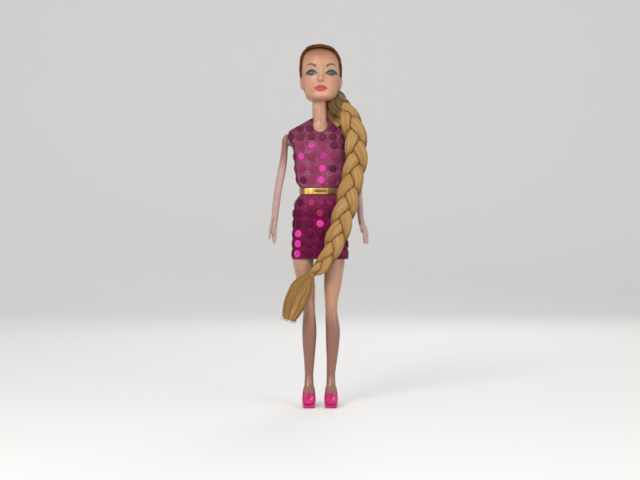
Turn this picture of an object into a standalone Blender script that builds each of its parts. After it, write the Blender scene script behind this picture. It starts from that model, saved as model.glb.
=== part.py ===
"""Fashion doll, 280 mm tall, in a sequinned mini dress with a long braid over its left shoulder.

Frame: metres, +Z up, the doll faces -Y and its left hand is at +X. The soles stand on Z = 0
and the origin is the middle of the whole doll's footprint box.
"""
import math
from collections import namedtuple

import bmesh
import bpy
from mathutils import Vector

# Clearances, walls and cutter overrun
GAP = 0.0003
OVERRUN = 0.002
TORSO_WALL = 0.0015
HEAD_WALL = 0.0020
BODY_SETBACK = 0.0022

# Heights, built up from the floor
ANKLE_HEIGHT = 0.0240
SHIN_LENGTH = 0.0525
THIGH_LENGTH = 0.0585
WAIST_RISE = 0.0310
BUST_RISE = 0.0280
SHOULDER_RISE = 0.0110
NECK_BASE_RISE = 0.0160
NECK_LENGTH = 0.0167
HEAD_HEIGHT = 0.0418
HEAD_OVERLAP = 0.0017

# Torso and neck
NECK_WIDTH = 0.0119
NECK_DEPTH = 0.0112
SHOULDER_WIDTH = 0.0396
SHOULDER_DEPTH = 0.0158
BUST_WIDTH = 0.0378
BUST_FRONT = 0.0126
BUST_BACK = 0.0092
WAIST_WIDTH = 0.0272
WAIST_DEPTH = 0.0156
HIP_WIDTH = 0.0400
HIP_FRONT = 0.0102
HIP_BACK = 0.0114
CROTCH_DROP = 0.0130
CROTCH_WIDTH = 0.0080
NECK_STEM_RADIUS = 0.0036
NECK_FLANGE_RADIUS = 0.0046
NECK_KNOB_RADIUS = 0.0054
NECK_KNOB_HEIGHT = 0.0058
NECK_FLANGE_HEIGHT = 0.0020

# Head and hair
HEAD_WIDTH = 0.0294
FACE_DEPTH = 0.0150
SKULL_DEPTH = 0.0156
NOSE_LENGTH = 0.0032
NOSE_WIDTH = 0.0026
HAIR_THICKNESS = 0.0019
GATHER_WIDTH = 0.0130
BRAID_SPREAD = 0.0061
BRAID_LIFT = 0.0042
STRAND_RADIUS = 0.0026
STRAND_PERIOD = 0.0536
STRAND_PHASE = 0.0046
STRAND_STEP = 0.0050
BRAID_REACH = 0.0290
BRAID_FALL = 0.1282
BRAID_DEPTH = 0.0180
BAND_RADIUS = 0.0031
BAND_WIDTH = 0.0026
TAIL_NECK_RADIUS = 0.0022
TAIL_WIDTH = 0.0174
TAIL_THICKNESS = 0.0060
TAIL_SWEEP = 0.0176
TAIL_FALL = 0.0380

# Arms
ARM_LENGTH = 0.0790
CAP_RADIUS = 0.0053
CAP_WIDTH = 0.0066
ARM_WIDTH = 0.0066
UPPER_ARM_OFFSET = 0.0072
ARM_SLANT = 0.0100
PEG_RADIUS = 0.0020
PEG_FLANGE_RADIUS = 0.0032
PEG_FLANGE_WIDTH = 0.0017
PEG_FLANGE_SETBACK = 0.0013
PEG_SOCKET_DEPTH = 0.0028

# Legs, feet and shoes
HIP_SPREAD = 0.0123
KNEE_SPREAD = 0.0088
ANKLE_SPREAD = 0.0085
THIGH_WIDTH = 0.0158
THIGH_FRONT = 0.0086
THIGH_BACK = 0.0094
HIP_BALL_RADIUS = 0.0096
KNEE_WIDTH = 0.0096
KNEE_DEPTH = 0.0108
CALF_WIDTH = 0.0112
CALF_DEPTH = 0.0128
ANKLE_WIDTH = 0.0068
ANKLE_DEPTH = 0.0078
KNEE_REACH = 0.0074
SLEEVE_WALL = 0.0012
AXLE_RADIUS = 0.0016
AXLE_KNOB_RADIUS = 0.0028
AXLE_KNOB_INNER = 0.0072
AXLE_KNOB_OUTER = 0.0122
CORE_WIDTH = 0.0040
CORE_DEPTH = 0.0030
CORE_EYE_RADIUS = 0.0026
CORE_EYE_WIDTH = 0.0020
CORE_EAR_WIDTH = 0.0011
CORE_CLEARANCE = 0.0005
KNEE_PIN_RADIUS = 0.0007
CORE_TOP_DROP = 0.0065
CORE_FOOT_RISE = 0.0120
ANKLE_SET = 0.0020
FOOT_REACH = 0.0190
FOOT_WIDTH = 0.0088
FOOT_DEPTH = 0.0065
SHOE_WALL = 0.0008
SHOE_LENGTH = 0.0270
SHOE_WIDTH = 0.0092
SHOE_EDGE = 0.0004

# Dress and belt
DRESS_THICKNESS = 0.0005
DRESS_EASE = 0.0004
DRESS_SHOULDER = 0.0486
DRESS_COLLAR_RISE = 0.0014
NECKLINE_WIDTH = 0.0138
NECKLINE_DEPTH = 0.0110
SKIRT_WIDTH = 0.0434
SKIRT_FRONT = 0.0116
SKIRT_BACK = 0.0126
SKIRT_LENGTH = 0.0523
BELT_HEIGHT = 0.0047
BELT_THICKNESS = 0.0005
BUCKLE_WIDTH = 0.0112
BUCKLE_THICKNESS = 0.0006
BUCKLE_RIM = 0.0009
CLOSURE_WIDTH = 0.0070
CLOSURE_THICKNESS = 0.0006

# Counts
BODY_POINTS = 20
LIMB_POINTS = 12
HEAD_POINTS = 28
TURN_STEPS = 16

# Levels that follow from the sizes
KNEE_Z = ANKLE_HEIGHT + SHIN_LENGTH
HIP_Z = KNEE_Z + THIGH_LENGTH
WAIST_Z = HIP_Z + WAIST_RISE
BUST_Z = WAIST_Z + BUST_RISE
SHOULDER_Z = BUST_Z + SHOULDER_RISE
NECK_BASE_Z = SHOULDER_Z + NECK_BASE_RISE
NECK_TOP_Z = NECK_BASE_Z + NECK_LENGTH
HEAD_BOTTOM_Z = NECK_TOP_Z - HEAD_OVERLAP
HEAD_TOP_Z = HEAD_BOTTOM_Z + HEAD_HEIGHT
TORSO_FLOOR_Z = HIP_Z + HIP_BALL_RADIUS + GAP
SHOULDER_TOP_Z = SHOULDER_Z + CAP_RADIUS + GAP
HEM_Z = WAIST_Z - SKIRT_LENGTH
CAP_INNER_X = SHOULDER_WIDTH / 2 + GAP
UPPER_ARM_SPREAD = CAP_INNER_X + UPPER_ARM_OFFSET
ARMHOLE_RADIUS = CAP_RADIUS + GAP + GAP
HEAD_RIM_Z = NECK_TOP_Z + GAP
HEAD_CAVITY_Z = HEAD_RIM_Z + HEAD_WALL

Section = namedtuple("Section", "x y z half_width front back squareness tilt")

MATERIALS = {
    # name: (red, green, blue, roughness, metallic)
    "skin_vinyl": (0.72, 0.42, 0.27, 0.36, 0.0),
    "face_vinyl": (0.74, 0.44, 0.29, 0.42, 0.0),
    "inner_plastic": (0.80, 0.78, 0.72, 0.45, 0.0),
    "axle_plastic": (0.70, 0.70, 0.68, 0.40, 0.0),
    "rooted_hair": (0.24, 0.10, 0.03, 0.45, 0.0),
    "blonde_hair": (0.55, 0.35, 0.13, 0.42, 0.0),
    "hair_elastic": (0.50, 0.38, 0.08, 0.50, 0.0),
    "dress_mesh": (0.30, 0.03, 0.13, 0.50, 0.1),
    "closure_tape": (0.25, 0.02, 0.12, 0.80, 0.0),
    "belt_ribbon": (0.80, 0.55, 0.12, 0.25, 1.0),
    "buckle_metal": (0.85, 0.65, 0.20, 0.20, 1.0),
    "shoe_plastic": (0.62, 0.04, 0.28, 0.25, 0.0),
}


def mix(a, b, share):
    return a + (b - a) * share


def between(upper, lower, height_share, width_share, front_share, back_share, square_share):
    """A section between two others, each of its sizes mixed by its own share."""
    return Section(
        mix(upper.x, lower.x, height_share),
        mix(upper.y, lower.y, height_share),
        mix(upper.z, lower.z, height_share),
        mix(upper.half_width, lower.half_width, width_share),
        mix(upper.front, lower.front, front_share),
        mix(upper.back, lower.back, back_share),
        mix(upper.squareness, lower.squareness, square_share),
        mix(upper.tilt, lower.tilt, height_share),
    )


def grown(section, extra):
    return section._replace(
        half_width=section.half_width + extra, front=section.front + extra, back=section.back + extra
    )


def slopes_of(knots, values):
    """Slopes of a curve through the values that never overshoots between two knots."""
    steps = [(b - a) for a, b in zip(knots, knots[1:])]
    rates = [(b - a) / step for a, b, step in zip(values, values[1:], steps)]
    slopes = [rates[0]]
    for before, after in zip(rates, rates[1:]):
        same_way = before * after > 0
        slopes.append(2 * before * after / (before + after) if same_way else 0)
    slopes.append(rates[-1])
    return slopes


def curve_value(knots, values, slopes, place):
    """The curve's value at a place, by cubic Hermite pieces."""
    index = 0
    while index < len(knots) - 2 and (place - knots[index + 1]) * (knots[-1] - knots[0]) > 0:
        index += 1
    step = knots[index + 1] - knots[index]
    t = (place - knots[index]) / step
    start = (1 + 2 * t) * (1 - t) ** 2 * values[index] + t * (1 - t) ** 2 * step * slopes[index]
    end = t * t * (3 - 2 * t) * values[index + 1] + t * t * (t - 1) * step * slopes[index + 1]
    return start + end


def refined(sections, parts):
    """The sections with others between them, so that each size follows a smooth curve."""
    knots = list(range(len(sections)))
    columns = list(zip(*sections))
    slopes = [slopes_of(knots, column) for column in columns]
    places = [index / parts for index in range((len(sections) - 1) * parts + 1)]
    return [
        Section(*(curve_value(knots, column, slope, place) for column, slope in zip(columns, slopes)))
        for place in places
    ]


def cropped(sections, high, low):
    """The sections between two heights, with new ones made at both."""
    def at(height):
        for upper, lower in zip(sections, sections[1:]):
            if upper.z >= height >= lower.z and upper.z > lower.z:
                share = (upper.z - height) / (upper.z - lower.z)
                return between(upper, lower, share, share, share, share, share)
        return (sections[0] if height > sections[0].z else sections[-1])._replace(z=height)
    return [at(high)] + [s for s in sections if high > s.z > low] + [at(low)]


def section_point(section, angle):
    """A point of the section's outline; a quarter turn is its front, three quarters its back."""
    power = 2 / section.squareness
    across, forward = math.cos(angle), math.sin(angle)
    reach = section.half_width * math.copysign(abs(across) ** power, across)
    depth = section.front if forward > 0 else section.back
    depth *= math.copysign(abs(forward) ** power, forward)
    return Vector((
        section.x + reach,
        section.y - depth * math.cos(section.tilt),
        section.z + depth * math.sin(section.tilt),
    ))


def ring_points(section, count):
    return [section_point(section, math.tau * step / count) for step in range(count)]


def material_named(name):
    material = bpy.data.materials.get(name)
    if material:
        return material
    red, green, blue, roughness, metallic = MATERIALS[name]
    material = bpy.data.materials.new(name)
    material.use_nodes = True
    shader = material.node_tree.nodes["Principled BSDF"]
    shader.inputs["Base Color"].default_value = (red, green, blue, 1)
    shader.inputs["Roughness"].default_value = roughness
    shader.inputs["Metallic"].default_value = metallic
    material.diffuse_color = (red, green, blue, 1)
    return material


def add_object(name, data, material):
    """Links the data as a part, or as a hidden cutter where it has no material."""
    thing = bpy.data.objects.new(name, data)
    if material:
        data.materials.append(material_named(material))
        PARTS.objects.link(thing)
    else:
        CUTTERS.objects.link(thing)
        thing.hide_render = True
        thing.display_type = "WIRE"
    return thing


def finish_mesh(name, bm, material):
    bmesh.ops.recalc_face_normals(bm, faces=bm.faces)
    mesh = bpy.data.meshes.new(name)
    bm.to_mesh(mesh)
    bm.free()
    mesh.shade_smooth()
    mesh.set_sharp_from_angle(angle=math.radians(50))
    return add_object(name, mesh, material)


def loft_rings(name, rings, material, hollow=False):
    """Skins rings of points. A hollow loft closes on itself, and any other gets two end faces."""
    bm = bmesh.new()
    loops = [[bm.verts.new(point) for point in ring] for ring in rings]
    pairs = list(zip(loops, loops[1:]))
    if hollow:
        pairs.append((loops[-1], loops[0]))
    for upper, lower in pairs:
        for step in range(len(upper)):
            following = (step + 1) % len(upper)
            bm.faces.new((upper[step], upper[following], lower[following], lower[step]))
    if not hollow:
        bm.faces.new(loops[0])
        bm.faces.new(loops[-1])
    return finish_mesh(name, bm, material)


def loft(name, sections, material, count):
    return loft_rings(name, [ring_points(section, count) for section in sections], material)


def sleeve(name, outer, inner, material, count):
    """A tube whose outside and inside are lofts that end at the same heights."""
    rings = [ring_points(section, count) for section in outer + inner[::-1]]
    return loft_rings(name, rings, material, hollow=True)


def slab(name, outline, low, high, material, edge=0):
    """A flat outline of (y, z) points, drawn out along X."""
    bm = bmesh.new()
    face = bm.faces.new([bm.verts.new((low, y, z)) for y, z in outline])
    drawn = bmesh.ops.extrude_face_region(bm, geom=[face])
    moved = [item for item in drawn["geom"] if isinstance(item, bmesh.types.BMVert)]
    bmesh.ops.translate(bm, verts=moved, vec=(high - low, 0, 0))
    thing = finish_mesh(name, bm, material)
    if edge:
        bevel = thing.modifiers.new("rounded", "BEVEL")
        bevel.width = edge
        bevel.segments = 2
        bevel.limit_method = "ANGLE"
    return thing


def box(name, low, high, material=None):
    """A box between two corners."""
    bm = bmesh.new()
    bmesh.ops.create_cube(bm, size=1)
    low, high = Vector(low), Vector(high)
    bmesh.ops.scale(bm, verts=bm.verts, vec=high - low)
    bmesh.ops.translate(bm, verts=bm.verts, vec=(low + high) / 2)
    return finish_mesh(name, bm, material)


def turned(name, profile, place, along_x, material):
    """A profile of (radius, height) points, from the top down, turned about its own axis."""
    mesh = bpy.data.meshes.new(name)
    edges = [(index, index + 1) for index in range(len(profile) - 1)]
    mesh.from_pydata([(radius, 0, height) for radius, height in profile], edges, [])
    thing = add_object(name, mesh, material)
    thing.location = place
    thing.rotation_euler = (0, math.pi / 2 if along_x else 0, 0)
    screw = thing.modifiers.new("turned", "SCREW")
    screw.steps = TURN_STEPS
    screw.render_steps = TURN_STEPS
    screw.use_merge_vertices = True
    screw.merge_threshold = 0.00001
    screw.use_smooth_shade = True
    return thing


def cut(thing, *cutters):
    for cutter in cutters:
        modifier = thing.modifiers.new("cut " + cutter.name, "BOOLEAN")
        modifier.operation = "DIFFERENCE"
        modifier.object = cutter


def join(thing, *others):
    for other in others:
        modifier = thing.modifiers.new("join " + other.name, "BOOLEAN")
        modifier.operation = "UNION"
        modifier.object = other


def joint_axis(name, place, parent=None):
    """An empty on a joint's axis, which the pieces of the moving body hang from."""
    empty = bpy.data.objects.new(name, None)
    PARTS.objects.link(empty)
    empty.empty_display_size = CAP_RADIUS
    empty["rest_place"] = place
    empty.parent = parent
    empty.location = Vector(place) - (Vector(parent["rest_place"]) if parent else Vector())
    return empty


def hang(axis, *things):
    for thing in things:
        thing.parent = axis
        thing.location = Vector(thing.location) - Vector(axis["rest_place"])


def body_section(z, width, front, back, squareness):
    return Section(0, BODY_SETBACK, z, width / 2, front, back, squareness, 0)


# Shares of (height, width, front, back, squareness) between the sections above and below
NECK_TO_SHOULDER_SHARES = (
    (0.33, 0.25, 0.10, 0.30, 0.1),
    (0.66, 0.76, 0.55, 0.70, 0.4),
)
SHOULDER_TO_BUST_SHARES = (
    (0.45, 0.10, 0.36, 0.50, 0.5),
)
BUST_TO_WAIST_SHARES = (
    (0.33, 0.50, 0.66, 0.25, 0.5),
    (0.66, 0.83, 0.88, 0.66, 0.8),
)
WAIST_TO_HIP_SHARES = (
    (0.30, 0.30, 0.40, 0.35, 0.3),
    (0.60, 0.76, 0.80, 0.78, 0.6),
)


def torso_sections():
    neck_top = body_section(NECK_TOP_Z, NECK_WIDTH, NECK_DEPTH / 2, NECK_DEPTH / 2, 2.0)
    neck_base = neck_top._replace(z=NECK_BASE_Z)
    shoulder = body_section(
        SHOULDER_TOP_Z, SHOULDER_WIDTH, SHOULDER_DEPTH / 2, SHOULDER_DEPTH / 2, 2.7
    )
    bust = body_section(BUST_Z, BUST_WIDTH, BUST_FRONT, BUST_BACK, 2.3)
    waist = body_section(WAIST_Z, WAIST_WIDTH, WAIST_DEPTH / 2, WAIST_DEPTH / 2, 2.1)
    hip = body_section(HIP_Z, HIP_WIDTH, HIP_FRONT, HIP_BACK, 2.3)
    crotch = hip._replace(z=HIP_Z - CROTCH_DROP, front=THIGH_FRONT, back=THIGH_FRONT)
    sections = [neck_top, neck_base]
    sections += [between(neck_base, shoulder, *shares) for shares in NECK_TO_SHOULDER_SHARES]
    sections += [shoulder]
    sections += [between(shoulder, bust, *shares) for shares in SHOULDER_TO_BUST_SHARES]
    sections += [bust]
    sections += [between(bust, waist, *shares) for shares in BUST_TO_WAIST_SHARES]
    sections += [waist]
    sections += [between(waist, hip, *shares) for shares in WAIST_TO_HIP_SHARES]
    return refined(sections + [hip, crotch], 2)


def neck_knob_profile():
    """Radius and height of the neck's inner post, from its head knob down to its flange."""
    knob_low = HEAD_CAVITY_Z + GAP
    flange_top = SHOULDER_Z + NECK_FLANGE_HEIGHT
    return (
        (0, knob_low + NECK_KNOB_HEIGHT),
        (NECK_STEM_RADIUS, knob_low + NECK_KNOB_HEIGHT),
        (NECK_KNOB_RADIUS, knob_low + NECK_KNOB_HEIGHT / 2),
        (NECK_KNOB_RADIUS, knob_low),
        (NECK_STEM_RADIUS, knob_low),
        (NECK_STEM_RADIUS, flange_top),
        (NECK_FLANGE_RADIUS, flange_top),
        (NECK_FLANGE_RADIUS, SHOULDER_Z),
        (0, SHOULDER_Z),
    )


def hip_axle_profile(grow):
    """The rod through the crotch with a knob in each thigh, or that shape grown by a clearance."""
    outer, inner = AXLE_KNOB_OUTER + grow, AXLE_KNOB_INNER - grow
    knob, rod = AXLE_KNOB_RADIUS + grow, AXLE_RADIUS + grow
    half = ((0, outer), (knob, outer), (knob, inner), (rod, inner))
    return half + tuple((radius, -place) for radius, place in half[::-1])


def shoulder_hole(side):
    """The round hole in the torso's side that a shoulder peg turns in."""
    middle = side * SHOULDER_WIDTH / 2
    length = TORSO_WALL + OVERRUN
    radius = PEG_RADIUS + GAP
    profile = ((0, length), (radius, length), (radius, -length), (0, -length))
    name = "shoulder_hole_cutter_" + ("left" if side > 0 else "right")
    return turned(name, profile, (middle, BODY_SETBACK, SHOULDER_Z), True, None)


def make_torso():
    sections = torso_sections()
    far = HIP_WIDTH
    cavity = cropped(
        [grown(section, -TORSO_WALL) for section in sections[::2]],
        NECK_TOP_Z, TORSO_FLOOR_Z + TORSO_WALL
    )
    cavity = [cavity[0]._replace(z=NECK_TOP_Z + OVERRUN)] + cavity
    cavity_cutter = loft("torso_cavity_cutter", cavity, None, BODY_POINTS)
    crotch_half = CROTCH_WIDTH / 2
    low, high = sections[-1].z - OVERRUN, TORSO_FLOOR_Z
    leg_cutters = [
        box("left_leg_cutter", (crotch_half, -far, low), (far, far, high)),
        box("right_leg_cutter", (-far, -far, low), (-crotch_half, far, high)),
    ]
    axle_cutter = turned(
        "axle_cutter", hip_axle_profile(GAP), (0, BODY_SETBACK, HIP_Z), True, None
    )
    holes = [shoulder_hole(1), shoulder_hole(-1)]
    seam = BODY_SETBACK
    top = NECK_TOP_Z + OVERRUN
    back_cutter = box("back_half_cutter", (-far, seam - GAP / 2, low), (far, far, top))
    front_cutter = box("front_half_cutter", (-far, -far, low), (far, seam + GAP / 2, top))
    for name, half_cutter in (("torso_front", back_cutter), ("torso_back", front_cutter)):
        shell = loft(name, sections, "skin_vinyl", BODY_POINTS)
        cut(shell, cavity_cutter, *leg_cutters, axle_cutter, *holes, half_cutter)
    turned("neck_knob", neck_knob_profile(), (0, BODY_SETBACK, 0), False, "inner_plastic")
    turned("hip_axle", hip_axle_profile(0), (0, BODY_SETBACK, HIP_Z), True, "axle_plastic")


# Rows from the crown to the jaw: shares of the head's height above its bottom, its half width,
# the face's depth and the skull's depth, then the outline's squareness
HEAD_SHARES = (
    (1.000, 0.20, 0.20, 0.22, 2.0),
    (0.970, 0.50, 0.50, 0.54, 2.0),
    (0.900, 0.75, 0.76, 0.80, 2.0),
    (0.790, 0.92, 0.94, 0.95, 2.1),
    (0.670, 0.98, 0.99, 1.00, 2.2),
    (0.530, 1.00, 0.96, 1.00, 2.3),
    (0.410, 0.98, 0.97, 0.95, 2.3),
    (0.290, 0.92, 0.98, 0.85, 2.3),
    (0.180, 0.84, 0.99, 0.72, 2.3),
    (0.090, 0.73, 0.96, 0.60, 2.2),
    (0.035, 0.61, 0.89, 0.52, 2.1),
    (0.000, 0.54, 0.74, 0.50, 2.0),
)
NOSE_HEIGHT_SHARE = 0.405
NOSE_RISE_SHARE = 0.075
NOSE_BRIDGE_SHARE = 0.50
BRIDGE_RISE_SHARE = 0.075
EYE_HEIGHT_SHARE = 0.525
EYE_SPREAD_SHARE = 0.53
EYE_SIZE_SHARE = 0.22
EYE_RISE_SHARE = 0.045
EYE_DEPTH_SHARE = 0.38
LIP_HEIGHT_SHARE = 0.240
LIP_RISE_SHARE = 0.035
LIP_WIDTH_SHARE = 0.28
LIP_DEPTH_SHARE = 0.30
CHIN_HEIGHT_SHARE = 0.075
CHIN_RISE_SHARE = 0.050
CHIN_WIDTH_SHARE = 0.30
CHIN_DEPTH_SHARE = 0.22


def head_sections(extra):
    """The head's sections from the crown down, grown outward on every side."""
    middle = mix(HEAD_BOTTOM_Z, HEAD_TOP_Z, 0.5)
    stretch = 1 + extra / (HEAD_HEIGHT / 2)
    sections = []
    for height, width, front, back, squareness in HEAD_SHARES:
        z = middle + (mix(HEAD_BOTTOM_Z, HEAD_TOP_Z, height) - middle) * stretch
        section = Section(
            0, BODY_SETBACK, z, width * HEAD_WIDTH / 2, front * FACE_DEPTH, back * SKULL_DEPTH,
            squareness, 0,
        )
        sections.append(grown(section, extra))
    return refined(sections, 2)


def bump(x, z, place_x, place_z, width, rise):
    """A smooth hill of height one on the face."""
    return math.exp(-((x - place_x) / width) ** 2 - ((z - place_z) / rise) ** 2)


def face_relief(x, z):
    """How far the face stands forward of the plain head at a point of it."""
    def level(share):
        return HEAD_BOTTOM_Z + share * HEAD_HEIGHT
    half = HEAD_WIDTH / 2
    rise = NOSE_RISE_SHARE * HEAD_HEIGHT
    relief = NOSE_LENGTH * bump(x, z, 0, level(NOSE_HEIGHT_SHARE), NOSE_WIDTH, rise)
    bridge_rise = BRIDGE_RISE_SHARE * HEAD_HEIGHT
    bridge = bump(x, z, 0, level(NOSE_BRIDGE_SHARE), NOSE_WIDTH, bridge_rise)
    relief += NOSE_LENGTH * bridge / 2
    eye_x = EYE_SPREAD_SHARE * half
    for place in (eye_x, -eye_x):
        socket = bump(
            x, z, place, level(EYE_HEIGHT_SHARE), EYE_SIZE_SHARE * half, EYE_RISE_SHARE * HEAD_HEIGHT
        )
        relief -= EYE_DEPTH_SHARE * NOSE_LENGTH * socket
    relief += LIP_DEPTH_SHARE * NOSE_LENGTH * bump(
        x, z, 0, level(LIP_HEIGHT_SHARE), LIP_WIDTH_SHARE * half, LIP_RISE_SHARE * HEAD_HEIGHT
    )
    relief += CHIN_DEPTH_SHARE * NOSE_LENGTH * bump(
        x, z, 0, level(CHIN_HEIGHT_SHARE), CHIN_WIDTH_SHARE * half, CHIN_RISE_SHARE * HEAD_HEIGHT
    )
    return relief


def face_ring(section):
    """A ring of the head, closer set at the front, with the face's relief."""
    points = []
    for step in range(HEAD_POINTS):
        turn = math.tau * step / HEAD_POINTS
        angle = turn + math.sin(2 * turn) / 6 * (math.sin(turn) > 0)
        point = section_point(section, angle)
        facing = max(math.sin(angle), 0)
        point.y -= face_relief(point.x, point.z) * facing
        points.append(point)
    return points


def make_head():
    sections = head_sections(0)
    head = loft_rings("head_shell", [face_ring(section) for section in sections], "face_vinyl")
    cavity = cropped([grown(section, -HEAD_WALL) for section in sections[::2]],
                     HEAD_TOP_Z - HEAD_WALL, HEAD_CAVITY_Z)
    cavity_cutter = loft("head_cavity_cutter", cavity, None, BODY_POINTS)
    seat, floor = NECK_WIDTH / 2 + GAP, HEAD_BOTTOM_Z - OVERRUN
    seat_profile = ((0, HEAD_RIM_Z), (seat, HEAD_RIM_Z), (seat, floor), (0, floor))
    seat_cutter = turned("neck_seat_cutter", seat_profile, (0, BODY_SETBACK, 0), False, None)
    stem = NECK_STEM_RADIUS + GAP
    high, low = HEAD_CAVITY_Z + OVERRUN / 2, HEAD_RIM_Z - OVERRUN / 2
    stem_cutter = turned("stem_cutter", ((0, high), (stem, high), (stem, low), (0, low)),
                         (0, BODY_SETBACK, 0), False, None)
    cut(head, cavity_cutter, seat_cutter, stem_cutter)
    return head


# Outline of the face opening in the hair, as shares of the head's depth behind its front and of
# its height: down the hairline, past the ear and out along the nape
HAIRLINE_SHARES = (
    (0.235, 1.20),
    (0.275, 0.955),
    (0.440, 0.55),
    (0.505, 0.40),
    (0.545, 0.22),
    (0.760, 0.145),
    (1.40, 0.145),
)


def make_hair_cap():
    skin_gap = GAP
    outside = head_sections(skin_gap + HAIR_THICKNESS)
    cap = loft("hair_cap", outside, "rooted_hair", HEAD_POINTS)
    inside_cutter = loft("scalp_cutter", head_sections(skin_gap), None, HEAD_POINTS)
    depth = FACE_DEPTH + SKULL_DEPTH
    front = BODY_SETBACK - FACE_DEPTH
    outline = [
        (front + back * depth, HEAD_BOTTOM_Z + high * HEAD_HEIGHT) for back, high in HAIRLINE_SHARES
    ]
    floor = HEAD_BOTTOM_Z - HEAD_HEIGHT
    outline += [(outline[-1][0], floor), (front - depth, floor), (front - depth, outline[0][1])]
    face_cutter = slab("face_cutter", outline, -HEAD_WIDTH, HEAD_WIDTH, None)
    cut(cap, inside_cutter, face_cutter)
    return cap


def smooth_path(points, count):
    """Points evenly spaced along a smooth curve through the given ones."""
    distances = [0]
    for a, b in zip(points, points[1:]):
        distances.append(distances[-1] + (b - a).length)
    columns = list(zip(*points))
    slopes = [slopes_of(distances, column) for column in columns]
    places = [distances[-1] * step / (count - 1) for step in range(count)]
    return [
        Vector([curve_value(distances, column, slope, place) for column, slope in zip(columns, slopes)])
        for place in places
    ]


def path_frames(path):
    """For each point its way along the path, its side and its outward direction."""
    frames = []
    for index in range(len(path)):
        ahead = path[min(index + 1, len(path) - 1)] - path[max(index - 1, 0)]
        ahead.normalize()
        side = ahead.cross(Vector((0, -1, 0))).normalized()
        frames.append((ahead, side, side.cross(ahead)))
    return frames


def strap_loft(name, path, half_widths, half_depths, count, material):
    """An oval tube along a path."""
    rings = []
    for point, frame, wide, deep in zip(path, path_frames(path), half_widths, half_depths):
        ahead, side, outward = frame
        rings.append([
            point + side * wide * math.cos(math.tau * step / count)
            + outward * deep * math.sin(math.tau * step / count)
            for step in range(count)
        ])
    return loft_rings(name, rings, material)


# The braid's middle line: shares of its reach to the side, of its depth in front of the joint
# plane and of its fall below the top of the neck
BRAID_SHARES = (
    (0.600, 0.42, 0.064),
    (0.772, 0.63, 0.114),
    (0.897, 0.79, 0.184),
    (0.955, 0.84, 0.250),
    (0.979, 0.83, 0.340),
    (0.945, 0.86, 0.410),
    (0.840, 0.94, 0.510),
    (0.735, 1.00, 0.620),
    (0.632, 1.04, 0.710),
    (0.516, 1.05, 0.800),
    (0.382, 1.04, 0.880),
    (0.232, 0.99, 0.950),
    (0.055, 0.93, 1.005),
    (-0.159, 0.86, 1.048),
)
BRAID_SCALE_KNOTS_SHARES = (0.0, 0.10, 0.20, 0.74, 0.87, 0.95, 1.0)
BRAID_SCALE_SHARES = (0.72, 0.95, 1.02, 1.0, 0.76, 0.66, 0.32)
GATHER_SHARES = (
    # reach, depth and fall shares of the braid, then a share of the gather's width
    (0.20, -0.98, -0.075, 0.66),
    (0.40, -0.66, -0.036, 0.92),
    (0.50, -0.26, -0.008, 1.00),
)


def braid_place(reach, depth, fall):
    return Vector((
        reach * BRAID_REACH, BODY_SETBACK - depth * BRAID_DEPTH, NECK_TOP_Z - fall * BRAID_FALL
    ))


def braid_scale(share):
    slopes = slopes_of(BRAID_SCALE_KNOTS_SHARES, BRAID_SCALE_SHARES)
    return curve_value(BRAID_SCALE_KNOTS_SHARES, BRAID_SCALE_SHARES, slopes, share)


def braid_path():
    coarse = smooth_path([braid_place(*shares) for shares in BRAID_SHARES], 60)
    length = sum((b - a).length for a, b in zip(coarse, coarse[1:]))
    count = math.ceil(length / STRAND_STEP) + 1
    return smooth_path(coarse, count), length


def make_braid():
    path, length = braid_path()
    frames = path_frames(path)
    strands = []
    for strand in range(3):
        name = "braid_strand_%d" % (strand + 1)
        curve = bpy.data.curves.new(name, "CURVE")
        curve.dimensions = "3D"
        curve.bevel_depth = STRAND_RADIUS
        curve.bevel_resolution = 1
        curve.use_fill_caps = True
        spline = curve.splines.new("POLY")
        spline.points.add(len(path) - 1)
        for index, (point, frame) in enumerate(zip(path, frames)):
            share = index / (len(path) - 1)
            turn = math.tau * ((share * length - STRAND_PHASE) / STRAND_PERIOD + strand / 3)
            scale = braid_scale(share)
            ahead, side, outward = frame
            place = point + side * BRAID_SPREAD * scale * math.sin(turn)
            place += outward * BRAID_LIFT * scale * math.sin(2 * turn)
            spline.points[index].co = (*place, 1)
            spline.points[index].radius = scale
        strands.append(add_object(name, curve, "blonde_hair"))
    return strands, path


def make_gather(braid_start, braid_ahead):
    """The hair drawn together from the nape to the top of the braid."""
    points = [braid_place(*shares[:3]) for shares in GATHER_SHARES]
    clear = GAP + STRAND_RADIUS * braid_scale(0) / 2
    points.append(braid_start - braid_ahead * GATHER_WIDTH / 2)
    points.append(braid_start - braid_ahead * clear)
    path = smooth_path(points, 9)
    share_list = [shares[3] for shares in GATHER_SHARES] + [GATHER_SHARES[-1][3]] * 2
    knots = [index / (len(share_list) - 1) for index in range(len(share_list))]
    slopes = slopes_of(knots, share_list)
    half = [
        GATHER_WIDTH / 2 * curve_value(knots, share_list, slopes, index / (len(path) - 1))
        for index in range(len(path))
    ]
    gather = strap_loft("hair_gather", path, half, half, LIMB_POINTS, "rooted_hair")
    hair_clear = GAP + HAIR_THICKNESS + GAP
    cut(gather, loft("hair_seat_cutter", head_sections(hair_clear), None, HEAD_POINTS))
    return gather


# The loose tail below the band: shares of its sweep, depth, fall, width and thickness
TAIL_SHARES = (
    (0.10, 0.00, 0.06, 0.40, 0.70),
    (0.28, 0.02, 0.16, 0.78, 0.94),
    (0.48, 0.03, 0.33, 1.00, 1.00),
    (0.66, 0.01, 0.52, 0.98, 0.90),
    (0.84, -0.04, 0.74, 0.86, 0.70),
    (0.97, -0.08, 0.90, 0.66, 0.50),
    (1.00, -0.10, 1.00, 0.40, 0.34),
)


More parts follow.
